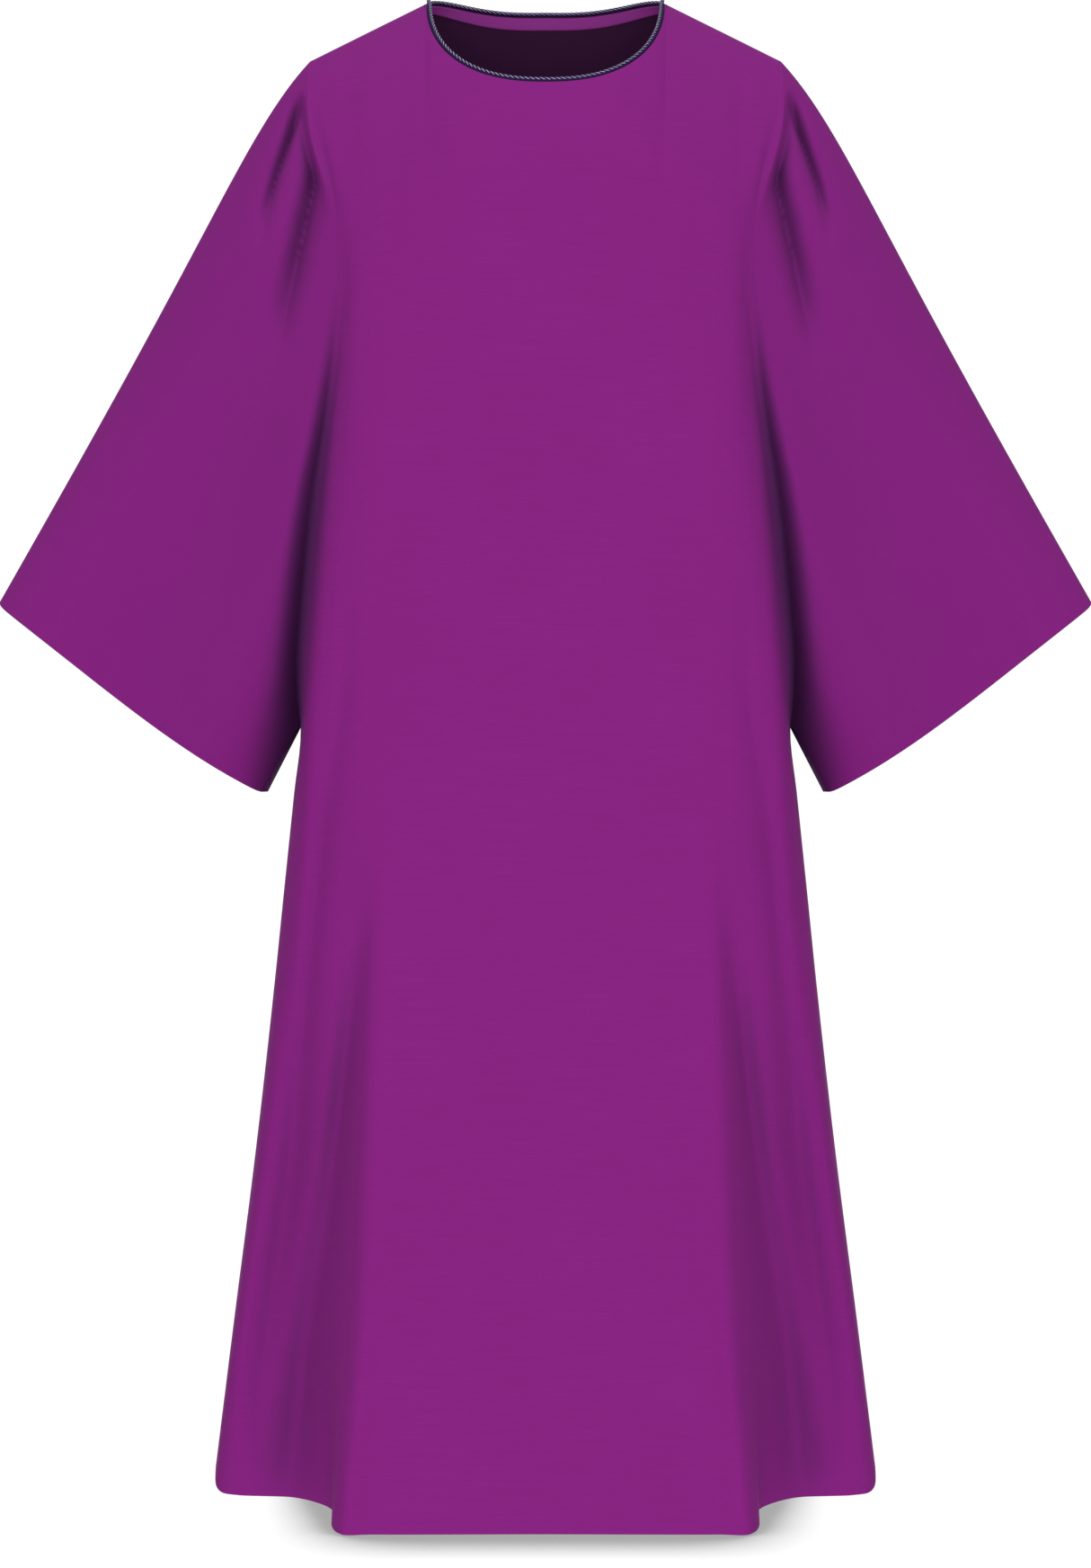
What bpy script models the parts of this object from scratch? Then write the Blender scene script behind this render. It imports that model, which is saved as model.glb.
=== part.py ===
"""A plain dalmatic with a corded round neck, filled out as when worn, with nobody in it.

Metres, +Z up, front towards -Y. Left and right are the wearer's, so left is +X. The origin lies
between the two neck points, where the shoulders carry the cloth.
"""
import math

import bpy
import bmesh
from mathutils import Vector

# Cloth
WALL = 0.002  # dress cloth with its turnings
SEAM_GAP = 0.0003  # between two pieces at a seam
LEAST_LEAN = 0.25  # keeps a point from moving more than four times its half of the gap
HEM = -1.3507  # height of the hem, below the neck points

# Neck opening: a rounded oval, given in front view before and in plan behind
NECK_HALF_WIDTH = 0.108
NECK_SQUARENESS = 2.3
FRONT_NECK_DROP = 0.085
BACK_NECK_REACH = 0.044
CORD_DIAMETER = 0.005
CORD_GAP = 0.0005  # between the cord and the cloth's edge
FACING_ROWS = 1  # rows of the back's grid that the facing behind the neck covers
FACING_WALL = 0.001

# Shoulders
SHOULDER_X = 0.2145
SHOULDER_SLOPE = 0.49
SHOULDER_ARCH = 0.20  # height over which a shoulder rounds down to the front or the back
ARCH_POWER = 0.55  # 0.5 rounds it like a tube's side, more makes it flatter there
UPPER_FORM = 0.20  # down to this drop a panel follows the rounded form of the shoulders
UPPER_BLEND = 0.10  # further drop in which it passes to the guides below
UNDERARM = -0.66

# Hem corners at the side seams
HEM_CORNER = 0.016  # radius

# Sleeves: a wide straight tube that hangs along SLEEVE_AXIS
SLEEVE_AXIS = Vector((0.486, 0.0, -0.874)).normalized()
SLEEVE_ACROSS = Vector((0.874, 0.0, 0.486)).normalized()
CUFF_TIP = Vector((0.498, 0.0, -0.547))
CUFF_WIDTH = 0.297
CUFF_SLANT = 0.033  # the cuff's lower corner lies this much further along the sleeve
CUFF_BOW = 0.011  # its edge bellies out, most at two thirds of its width
CUFF_DEPTH = 0.052  # half its opening from front to back, at the widest
CUFF_TAPER = 0.15  # share of that depth that is gone at the lower corner
CUFF_ROUNDING = 4.5  # 2 rounds the opening's section like an ellipse, more makes it boxier
CUFF_CORNER = 0.005  # how far each corner of the cuff is rounded back
CORNER_POWER = 40
CROWN_LIFT = 0.0084  # rise of the overarm near the shoulder
CROWN_AT = 0.095  # distance from the armhole at which it rises most
CROWN_REACH = 0.12  # distance below the overarm at which the rise has gone
SLEEVE_SWELL = 0.045  # how far a sleeve bellies out between its two edges near the body
SWELL_FROM = 0.40  # share of the sleeve's width below the overarm at which that begins
SWELL_FULL = 0.75
SWELL_POWER = 6
SLEEVE_ROLL = 0.0105  # distance in which a sleeve rolls forward out of its seam
ROLL_POWER = 1.4
FOLD_START = 0.010  # the cap's folds are at full depth this far from the armhole
FOLD_RISE = 0.3  # share of its length in which a fold deepens
FOLD_FADE = 0.5  # share of its length in which it fades out

# Guides run up a panel, each at its share of the way from the centre to the side, through rows of
# (height, out, forward). A section of the body is a smooth line across all of them.
FRONT_GUIDES = {
    "centre": (0.00, ((-1.3507, 0.0, 0.194), (-0.90, 0.0, 0.178), (-0.60, 0.0, 0.164),
                      (-0.35, 0.0, 0.151), (-0.20, 0.0, 0.138), (-0.08, 0.0, 0.122))),
    "panel": (0.30, ((-1.3507, 0.146, 0.195), (-0.90, 0.119, 0.175), (-0.60, 0.106, 0.161),
                     (-0.35, 0.100, 0.148), (-0.20, 0.094, 0.132), (-0.08, 0.090, 0.112))),
    "edge": (0.42, ((-1.3507, 0.176, 0.193), (-1.20, 0.163, 0.185), (-1.05, 0.1555, 0.175),
                    (-0.90, 0.148, 0.169), (-0.75, 0.140, 0.160), (-0.60, 0.134, 0.153),
                    (-0.35, 0.127, 0.143), (-0.20, 0.118, 0.127), (-0.08, 0.114, 0.108))),
    "wall": (0.50, ((-1.3507, 0.1848, 0.162), (-1.20, 0.1765, 0.158), (-1.05, 0.1665, 0.156),
                    (-0.90, 0.159, 0.156), (-0.75, 0.152, 0.152), (-0.60, 0.147, 0.147),
                    (-0.35, 0.142, 0.138), (-0.20, 0.133, 0.122), (-0.08, 0.128, 0.104))),
    "dip": (0.58, ((-1.3507, 0.1875, 0.104), (-1.20, 0.192, 0.116), (-1.05, 0.181, 0.124),
                   (-0.90, 0.171, 0.133), (-0.75, 0.164, 0.138), (-0.60, 0.160, 0.138),
                   (-0.35, 0.155, 0.131), (-0.20, 0.148, 0.115), (-0.08, 0.144, 0.098))),
    "swell": (0.66, ((-1.3507, 0.208, 0.070), (-1.20, 0.210, 0.087), (-1.05, 0.199, 0.094),
                     (-0.90, 0.187, 0.108), (-0.75, 0.178, 0.121), (-0.60, 0.172, 0.125),
                     (-0.35, 0.162, 0.122), (-0.20, 0.160, 0.107), (-0.08, 0.160, 0.092))),
    "hollow": (0.75, ((-1.3507, 0.243, 0.050), (-1.20, 0.232, 0.065), (-1.05, 0.2165, 0.069),
                      (-0.90, 0.202, 0.085), (-0.75, 0.192, 0.098), (-0.60, 0.186, 0.108),
                      (-0.51, 0.1805, 0.113), (-0.43, 0.173, 0.114), (-0.35, 0.168, 0.112),
                      (-0.27, 0.166, 0.106), (-0.20, 0.169, 0.098), (-0.08, 0.175, 0.084))),
    "ridge": (0.84, ((-1.3507, 0.277, 0.041), (-1.20, 0.258, 0.047), (-1.05, 0.2385, 0.046),
                     (-0.90, 0.2215, 0.061), (-0.75, 0.211, 0.070), (-0.66, 0.2065, 0.080),
                     (-0.60, 0.2015, 0.090), (-0.51, 0.1925, 0.098), (-0.43, 0.1835, 0.102),
                     (-0.35, 0.176, 0.102), (-0.27, 0.173, 0.099), (-0.20, 0.177, 0.091),
                     (-0.08, 0.189, 0.076))),
    "turn": (0.93, ((-1.3507, 0.298, 0.022), (-1.20, 0.278, 0.023), (-1.05, 0.2575, 0.024),
                    (-0.90, 0.2405, 0.033), (-0.75, 0.227, 0.038), (-0.66, 0.2175, 0.044),
                    (-0.60, 0.2155, 0.062), (-0.51, 0.2055, 0.077), (-0.43, 0.1945, 0.087),
                    (-0.35, 0.184, 0.094), (-0.27, 0.1795, 0.094), (-0.20, 0.184, 0.086),
                    (-0.14, 0.195, 0.078), (-0.08, 0.2025, 0.068))),
    "seam": (1.00, ((-1.3507, 0.304, -0.012), (-1.20, 0.285, -0.010), (-1.05, 0.2655, -0.006),
                    (-0.90, 0.2483, -0.003), (-0.80, 0.2378, 0.0), (-0.72, 0.2295, 0.0),
                    (-0.66, 0.2234, 0.0), (-0.64, 0.2252, 0.011), (-0.60, 0.2265, 0.030),
                    (-0.555, 0.2222, 0.045), (-0.51, 0.2165, 0.055), (-0.47, 0.2108, 0.062),
                    (-0.43, 0.2042, 0.069), (-0.39, 0.197, 0.077), (-0.35, 0.191, 0.084),
                    (-0.31, 0.187, 0.089), (-0.27, 0.1845, 0.090), (-0.23, 0.1835, 0.087),
                    (-0.19, 0.187, 0.081), (-0.15, 0.197, 0.073), (-0.11, 0.2085, 0.066),
                    (-0.055, 0.2145, 0.060))),
}
BACK_GUIDES = {
    "centre": (0.00, ((-1.3507, 0.0, 0.158), (-0.90, 0.0, 0.142), (-0.60, 0.0, 0.130),
                      (-0.35, 0.0, 0.130), (-0.20, 0.0, 0.122), (-0.08, 0.0, 0.104))),
    "panel": (0.30, ((-1.3507, 0.128, 0.164), (-0.90, 0.112, 0.144), (-0.60, 0.104, 0.131),
                     (-0.35, 0.098, 0.129), (-0.20, 0.094, 0.118), (-0.08, 0.090, 0.098))),
    "edge": (0.42, ((-1.3507, 0.164, 0.162), (-1.20, 0.157, 0.157), (-1.05, 0.150, 0.148),
                    (-0.90, 0.144, 0.139), (-0.75, 0.138, 0.131), (-0.60, 0.133, 0.126),
                    (-0.35, 0.127, 0.124), (-0.20, 0.118, 0.113), (-0.08, 0.114, 0.094))),
    "wall": (0.50, ((-1.3507, 0.182, 0.142), (-1.20, 0.172, 0.141), (-1.05, 0.163, 0.137),
                    (-0.90, 0.157, 0.132), (-0.75, 0.151, 0.126), (-0.60, 0.147, 0.121),
                    (-0.35, 0.142, 0.118), (-0.20, 0.133, 0.108), (-0.08, 0.128, 0.090))),
    "dip": (0.58, ((-1.3507, 0.196, 0.108), (-1.20, 0.186, 0.116), (-1.05, 0.177, 0.121),
                   (-0.90, 0.170, 0.121), (-0.75, 0.164, 0.118), (-0.60, 0.160, 0.114),
                   (-0.35, 0.156, 0.111), (-0.20, 0.148, 0.102), (-0.08, 0.144, 0.086))),
    "swell": (0.66, ((-1.3507, 0.218, 0.084), (-1.20, 0.207, 0.096), (-1.05, 0.195, 0.105),
                     (-0.90, 0.185, 0.108), (-0.75, 0.177, 0.107), (-0.60, 0.172, 0.104),
                     (-0.35, 0.168, 0.102), (-0.20, 0.162, 0.094), (-0.08, 0.160, 0.080))),
    "hollow": (0.75, ((-1.3507, 0.248, 0.071), (-1.20, 0.233, 0.078), (-1.05, 0.217, 0.084),
                      (-0.90, 0.203, 0.089), (-0.75, 0.193, 0.090), (-0.60, 0.187, 0.092),
                      (-0.51, 0.1815, 0.094), (-0.43, 0.174, 0.094), (-0.35, 0.169, 0.092),
                      (-0.27, 0.1665, 0.089), (-0.20, 0.169, 0.084), (-0.08, 0.175, 0.072))),
    "ridge": (0.84, ((-1.3507, 0.279, 0.063), (-1.20, 0.260, 0.060), (-1.05, 0.240, 0.061),
                     (-0.90, 0.223, 0.064), (-0.75, 0.212, 0.066), (-0.66, 0.207, 0.070),
                     (-0.60, 0.2015, 0.076), (-0.51, 0.1925, 0.081), (-0.43, 0.1835, 0.084),
                     (-0.35, 0.176, 0.083), (-0.27, 0.173, 0.081), (-0.20, 0.177, 0.076),
                     (-0.08, 0.189, 0.062))),
    "turn": (0.93, ((-1.3507, 0.299, 0.043), (-1.20, 0.280, 0.038), (-1.05, 0.260, 0.034),
                    (-0.90, 0.243, 0.034), (-0.75, 0.227, 0.034), (-0.66, 0.2175, 0.037),
                    (-0.60, 0.2155, 0.052), (-0.51, 0.2055, 0.063), (-0.43, 0.1945, 0.070),
                    (-0.35, 0.184, 0.076), (-0.27, 0.1795, 0.077), (-0.20, 0.184, 0.071),
                    (-0.14, 0.195, 0.062), (-0.08, 0.2025, 0.054))),
    "seam": (1.00, ((-1.3507, 0.304, 0.012), (-1.20, 0.285, 0.010), (-1.05, 0.2655, 0.006),
                    (-0.90, 0.2483, 0.003), (-0.80, 0.2378, 0.0), (-0.72, 0.2295, 0.0),
                    (-0.66, 0.2234, 0.0), (-0.64, 0.2252, 0.009), (-0.60, 0.2265, 0.025),
                    (-0.555, 0.2222, 0.037), (-0.51, 0.2165, 0.045), (-0.47, 0.2108, 0.051),
                    (-0.43, 0.2042, 0.057), (-0.39, 0.197, 0.063), (-0.35, 0.191, 0.069),
                    (-0.31, 0.187, 0.073), (-0.27, 0.1845, 0.074), (-0.23, 0.1835, 0.071),
                    (-0.19, 0.187, 0.066), (-0.15, 0.197, 0.060), (-0.11, 0.2085, 0.055),
                    (-0.055, 0.2145, 0.051))),
}

# Rows of the body's grid: the heights below the underarm, and above it down from the top edge
ROWS_TO_UNDERARM = 7
DROPS = (0.0, 0.011, 0.025, 0.043, 0.065, 0.090, 0.118, 0.148, 0.180, 0.215, 0.255, 0.300, 0.350,
         0.405, 0.460, 0.510, 0.560, 0.610)
LIFT_FROM = 0.50  # above this drop the rows bend towards the top edge
COLUMN_HASTE = 1.6  # how much sooner than that the columns leave the places of the top edge
SIDE_HASTE = 2.6  # the same at the armhole
HASTE_FROM = 0.5  # share of the way from the centre to a side at which it begins to rise

# Columns of the grid from the centre to a side, as shares of the way
NECK_SHARE = 0.36
NECK_CELLS = 10
NECK_STEPS = 120  # close steps in which half the neckline is measured out
SHOULDER_SHARES = (0.41, 0.45, 0.49, 0.53, 0.57, 0.61, 0.66, 0.715, 0.77, 0.83, 0.89, 0.95, 1.0)

# Sleeve stations from the armhole to the cuff, as shares of the way
STATIONS = (0.0, 0.025, 0.055, 0.09, 0.13, 0.175, 0.225, 0.29, 0.37, 0.47, 0.60, 0.74, 0.88, 1.0)

# Drape folds on a sleeve's cap: a trough from the first point to the last, in front view, with the
# share of its depth that its like on the back has
CAP_FOLDS = {
    "outer": {"line": ((0.222, -0.080), (0.2305, -0.137), (0.2465, -0.191), (0.258, -0.240)),
              "half_width": 0.012, "depth": 0.011, "behind": 0.7},
    "inner": {"line": ((0.2075, -0.090), (0.2005, -0.150), (0.2075, -0.215), (0.2215, -0.280),
                       (0.231, -0.330)),
              "half_width": 0.015, "depth": 0.018, "behind": 0.6},
}

PURPLE = (0.251, 0.019, 0.223, 1.0)
FACING_PURPLE = (0.195, 0.024, 0.181, 1.0)
NAVY = (0.012, 0.008, 0.045, 1.0)


def spline(knots, values, at):
    """A smooth line through values at rising knots, straight beyond its ends."""
    last = len(knots) - 1
    cell = 0
    while cell < last - 1 and at > knots[cell + 1]:
        cell += 1

    def slope(i):
        if i == 0:
            return (values[1] - values[0]) / (knots[1] - knots[0])
        if i == last:
            return (values[last] - values[last - 1]) / (knots[last] - knots[last - 1])
        before = knots[i] - knots[i - 1]
        after = knots[i + 1] - knots[i]
        into = (values[i] - values[i - 1]) / before
        out = (values[i + 1] - values[i]) / after
        return (into * after + out * before) / (before + after)

    if at <= knots[0]:
        return values[0] + (at - knots[0]) * slope(0)
    if at >= knots[last]:
        return values[last] + (at - knots[last]) * slope(last)
    width = knots[cell + 1] - knots[cell]
    t = (at - knots[cell]) / width
    first = values[cell] * (1 + 2 * t) * (1 - t) ** 2 + slope(cell) * width * t * (1 - t) ** 2
    second = values[cell + 1] * t * t * (3 - 2 * t) + slope(cell + 1) * width * t * t * (t - 1)
    return first + second


def ease(t):
    """0 to 1, level at both ends."""
    t = min(max(t, 0.0), 1.0)
    return t * t * (3 - 2 * t)


def guide_section(guides, height):
    """The guides' (out, forward) at a height, from one side across the centre to the other."""
    half = []
    for _, rows in guides.values():
        heights = [row[0] for row in rows]
        half.append([spline(heights, [row[k] for row in rows], height) for k in (1, 2)])
    return [(-x, forward) for x, forward in reversed(half[1:])] + half


def shoulder_line(x):
    """Height of the ridge over the shoulders, which flattens above the neck opening."""
    if x >= NECK_HALF_WIDTH:
        return -SHOULDER_SLOPE * (x - NECK_HALF_WIDTH)
    return SHOULDER_SLOPE * (NECK_HALF_WIDTH ** 2 - x * x) / (2 * NECK_HALF_WIDTH)


def form_forward(guides, x, z):
    """How far forward the garment's form stands at a place of its upper front view."""
    section = guide_section(guides, z)
    forward = spline([p[0] for p in section], [p[1] for p in section], min(x, section[-1][0]))
    t = min(max((shoulder_line(x) - z) / SHOULDER_ARCH, 0.0), 1.0)
    return forward * (1 - (1 - t) ** 2) ** ARCH_POWER


def form_height(guides, x, forward):
    """Height at which the upper form stands so far forward at x."""
    low = -FRONT_NECK_DROP
    high = shoulder_line(x)
    for _ in range(30):
        middle = (low + high) / 2
        if form_forward(guides, x, middle) > forward:
            low = middle
        else:
            high = middle
    return high


def neckline(side):
    """Half the neckline in close steps from the centre to the neck point, as (out, height)."""
    guides = FRONT_GUIDES if side < 0 else BACK_GUIDES
    places = []
    lengths = [0.0]
    for step in range(NECK_STEPS + 1):
        turn = math.pi / 2 * (1 - step / NECK_STEPS)
        x = NECK_HALF_WIDTH * math.cos(turn) ** (2 / NECK_SQUARENESS)
        inward = math.sin(turn) ** (2 / NECK_SQUARENESS)
        if side < 0:
            z = -FRONT_NECK_DROP * inward
        else:
            z = form_height(guides, x, BACK_NECK_REACH * inward ** 2)
        places.append(Vector((x, form_forward(guides, x, z), z)))
    for a, b in zip(places, places[1:]):
        lengths.append(lengths[-1] + (b - a).length)
    return places, lengths


def top_edge(line, share):
    """Out and height of a panel's top edge: half the neckline, and then the shoulder seam."""
    if share >= NECK_SHARE:
        t = (share - NECK_SHARE) / (1 - NECK_SHARE)
        x = NECK_HALF_WIDTH + (SHOULDER_X - NECK_HALF_WIDTH) * t
        return x, shoulder_line(x)
    places, lengths = line
    goal = lengths[-1] * share / NECK_SHARE
    step = max(i for i, length in enumerate(lengths[:-1]) if length <= goal)
    t = (goal - lengths[step]) / (lengths[step + 1] - lengths[step])
    place = places[step].lerp(places[step + 1], t)
    return place.x, place.z


def body_point(side, line, share, below):
    """Outer point of the front (side -1) or back (side 1), below the top edge by a drop."""
    guides = FRONT_GUIDES if side < 0 else BACK_GUIDES
    top_x, top_z = top_edge(line, abs(share))
    z = -below + (1 - ease(below / LIFT_FROM)) * top_z
    section = guide_section(guides, z)
    shares = [at for at, _ in guides.values()]
    shares = [-at for at in reversed(shares[1:])] + shares
    x = spline(shares, [p[0] for p in section], abs(share))
    forward = spline(shares, [p[1] for p in section], abs(share))
    low = ease((below - UPPER_FORM) / UPPER_BLEND)
    haste = COLUMN_HASTE + (SIDE_HASTE - COLUMN_HASTE) * ease((abs(share) - HASTE_FROM) / (1 - HASTE_FROM))
    x = top_x + ease(below / LIFT_FROM * haste) * (x - top_x)
    forward = low * forward + (1 - low) * form_forward(guides, x, z)
    return Vector((math.copysign(x, share), side * forward, z))


def round_hem(row):
    """Lifts the two ends of the hem into rounded corners."""
    for point in row:
        near = min(max(1 - (row[-1].x - abs(point.x)) / HEM_CORNER, 0.0), 1.0)
        point.z += HEM_CORNER * (1 - (1 - near ** 2) ** 0.5)


def body_grid(side):
    """Rows of outer points, from the hem up to the top edge, and from right (-X) to left (+X)."""
    neck = [NECK_SHARE * i / NECK_CELLS for i in range(NECK_CELLS + 1)]
    half = neck + list(SHOULDER_SHARES)
    shares = [-s for s in reversed(half[1:])] + half
    low = [-HEM + (UNDERARM - HEM) * -i / ROWS_TO_UNDERARM for i in range(ROWS_TO_UNDERARM + 1)]
    line = neckline(side)
    grid = [[body_point(side, line, s, d) for s in shares] for d in low + list(DROPS[::-1])]
    round_hem(grid[0])
    return grid


def fold_depth(x, z, behind):
    """Depth of the cap folds at a place of the front view."""
    total = 0.0
    for fold in CAP_FOLDS.values():
        line = fold["line"]
        heights = [-p[1] for p in line]
        along = (-z - heights[0]) / (heights[-1] - heights[0])
        if not 0 < along < 1:
            continue
        off = (x - spline(heights, [p[0] for p in line], -z)) / fold["half_width"]
        fade = ease(along / FOLD_RISE) * ease((1 - along) / FOLD_FADE)
        total += fold["depth"] * fade * math.exp(-off * off) * (fold["behind"] if behind else 1.0)
    return total


def cuff_point(width, side):
    """Point of the cuff's edge at a distance below the overarm fold."""
    share = min(max(width / CUFF_WIDTH, 0.0), 1.0)
    from_middle = abs(2 * share - 1)
    depth = CUFF_DEPTH * (1 - from_middle ** CUFF_ROUNDING) ** 0.5 * (1 - CUFF_TAPER * share)
    belly = 27 / 4 * share ** 2 * (1 - share)  # 1 at its most, at two thirds
    along = CUFF_SLANT * share + CUFF_BOW * belly - CUFF_CORNER * from_middle ** CORNER_POWER
    point = CUFF_TIP - SLEEVE_ACROSS * width + SLEEVE_AXIS * along
    return point + Vector((0.0, side * depth, 0.0))


def sleeve_grid(front, back):
    """Rings of outer points of the left sleeve, from the armhole to the cuff.

    A ring runs from the overarm down the front to the underarm and up the back."""
    edge_front = [row[-1] for row in front[ROWS_TO_UNDERARM:]]
    edge_back = [row[-1] for row in back[ROWS_TO_UNDERARM:]]
    loop = [(p, -1) for p in reversed(edge_front)] + [(p, 1) for p in edge_back[1:-1]]
    shoulder = edge_front[-1]
    full = (shoulder - edge_front[0]).dot(SLEEVE_ACROSS)
    rings = []
    for share in STATIONS:
        ring = []
        for start, side in loop:
            width = (shoulder - start).dot(SLEEVE_ACROSS) * CUFF_WIDTH / full
            end = cuff_point(width, side)
            point = start.lerp(end, share)
            away = (end - start).length * share
            crown = CROWN_LIFT * away / CROWN_AT * math.exp(1 - away / CROWN_AT)
            point += SLEEVE_ACROSS * crown * (1 - ease(width / CROWN_REACH))
            low = min(max(width / CUFF_WIDTH, 0.0), 1.0)
            bulge = ease((low - SWELL_FROM) / (SWELL_FULL - SWELL_FROM)) * (1 - abs(2 * low - 1) ** SWELL_POWER)
            roll = (1 - math.exp(-(away / SLEEVE_ROLL) ** ROLL_POWER)) * (1 - share)
            point.y += side * SLEEVE_SWELL * bulge * roll
            point.y -= side * fold_depth(point.x, point.z, side > 0) * ease(away / FOLD_START)
            ring.append(point)
        rings.append(ring)
    return rings


def place_key(point):
    """The same key for points of two grids that meet at a seam."""
    return tuple(round(c * 1e5) for c in point)


def add_normals(grid, closed, normals):
    """Adds the normals of a grid's cells to the places of their corners."""
    across = len(grid[0])
    cells = across if closed else across - 1
    for low, high in zip(grid, grid[1:]):
        for i in range(cells):
            j = (i + 1) % across
            face = (low[j] - high[i]).cross(high[j] - low[i]).normalized()
            for corner in (low[i], low[j], high[i], high[j]):
                key = place_key(corner)
                normals[key] = normals.get(key, Vector()) + face


def mirrored(grid):
    """The grid mirrored to the wearer's right, with its cells still facing out."""
    return [[Vector((-p.x, p.y, p.z)) for p in [row[0]] + row[:0:-1]] for row in grid]


def make_object(name, mesh_source, material, collection):
    """Links a mesh, made from a bmesh, as a named object with its material."""
    mesh = bpy.data.meshes.new(name)
    mesh_source.to_mesh(mesh)
    mesh_source.free()
    mesh.shade_smooth()
    mesh.set_sharp_from_angle(angle=math.radians(50))
    mesh.materials.append(material)
    piece = bpy.data.objects.new(name, mesh)
    collection.objects.link(piece)
    return piece


def loft_wall(outer, inner, closed):
    """A closed wall between two like grids."""
    shell = bmesh.new()
    skins = []
    for grid in (outer, inner):
        skins.append([[shell.verts.new(p) for p in row] for row in grid])
    across = len(outer[0])
    cells = across if closed else across - 1
    for skin in skins:
        for low, high in zip(skin, skin[1:]):
            for i in range(cells):
                j = (i + 1) % across
                shell.faces.new((low[i], low[j], high[j], high[i]))
    rims = [(skins[0][0], skins[1][0]), (skins[0][-1], skins[1][-1])]
    if not closed:
        for end in (0, -1):
            rims.append(([row[end] for row in skins[0]], [row[end] for row in skins[1]]))
    for outside, inside in rims:
        round_rim = closed and len(outside) == across
        for i in range(len(outside) if round_rim else len(outside) - 1):
            low, high = sorted((i, (i + 1) % len(outside)), key=lambda k: outside[k].co.z)
            shell.faces.new((outside[low], outside[high], inside[high]))
            shell.faces.new((outside[low], inside[high], inside[low]))
    bmesh.ops.recalc_face_normals(shell, faces=shell.faces)
    return shell


def seam_shift(point, inner, along, normal):
    """How far a seam's point moves towards its piece's next point, so that half the gap is left
    between it and the plane that stands on the seam along the garment's normal."""
    direction = (inner - point).normalized()
    lean = abs(direction.dot(along.cross(normal).normalized()))
    return direction * SEAM_GAP / 2 / max(lean, LEAST_LEAN)


def drawn_in(grid, closed, seams, normals):
    """The grid with the edges named in seams moved inwards, each by its half of the gap."""
    result = [[p.copy() for p in row] for row in grid]
    rows = len(grid)
    across = len(grid[0])
    for j, row in enumerate(grid):
        for i, point in enumerate(row):
            normal = normals[place_key(point)]
            if not closed and seams(j, i) and i in (0, across - 1):
                inner = row[1] if i == 0 else row[-2]
                along = grid[min(j + 1, rows - 1)][i] - grid[max(j - 1, 0)][i]
                result[j][i] += seam_shift(point, inner, along, normal)
            if j in (0, rows - 1) and seams(j, i):
                inner = grid[1][i] if j == 0 else grid[-2][i]
                before, after = (i - 1, (i + 1) % across) if closed else (max(i - 1, 0), min(i + 1, across - 1))
                result[j][i] += seam_shift(point, inner, row[after] - row[before], normal)
    return result


def wall_from(grid, closed, seams, normals):
    """A piece's wall, its inner skin set in along the garment's own normals."""
    outer = drawn_in(grid, closed, seams, normals)
    inner = []
    for row, moved in zip(grid, outer):
        inner.append([q - normals[place_key(p)] * WALL for p, q in zip(row, moved)])
    return loft_wall(outer, inner, closed)


def cloth_material(name, colour, roughness):
    """A plain surface for one kind of cloth or cord."""
    material = bpy.data.materials.new(name)
    material.use_nodes = True
    shader = material.node_tree.nodes["Principled BSDF"]
    shader.inputs["Base Color"].default_value = colour
    shader.inputs["Roughness"].default_value = roughness
    shader.inputs["Metallic"].default_value = 0.0
    material.diffuse_color = colour
    return material


def neck_ring(front, back, normals):
    """Centre points of the cord, just beyond the middle of the cloth's edge all round the neck."""
    middle = len(front[0]) // 2
    span = range(middle - NECK_CELLS, middle + NECK_CELLS + 1)
    edge = [front[-1][i] for i in span] + [back[-1][i] for i in reversed(span[1:-1])]
    ring = []
    for i, point in enumerate(edge):
        along = edge[(i + 1) % len(edge)] - edge[i - 1]
        out = normals[place_key(point)]
        beyond = out.cross(along).normalized()
        ring.append(point - out * WALL / 2 + beyond * (CORD_DIAMETER / 2 + CORD_GAP))
    return ring


def neck_cord(points, material, collection):
    """The cord as a plain round tube in a closed ring."""
    curve = bpy.data.curves.new("neck_cord", "CURVE")
    curve.dimensions = "3D"
    curve.bevel_depth = CORD_DIAMETER / 2
    curve.bevel_resolution = 2
    line = curve.splines.new("POLY")
    line.points.add(len(points) - 1)
    for point, place in zip(line.points, points):
        point.co = (*place, 1.0)
    line.use_cyclic_u = True
    curve.materials.append(material)
    collection.objects.link(bpy.data.objects.new("neck_cord", curve))


def neck_facing(back, normals):
    """The band sewn inside the back of the neck, moved in from the back's own points."""
    middle = len(back[0]) // 2
    rows = [row[middle - NECK_CELLS:middle + NECK_CELLS + 1] for row in back[-1 - FACING_ROWS:]]
    skins = []
    for depth in (WALL + SEAM_GAP, WALL + SEAM_GAP + FACING_WALL):
        skins.append([[p - normals[place_key(p)] * depth for p in row] for row in rows])
    return loft_wall(skins[0], skins[1], False)


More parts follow.
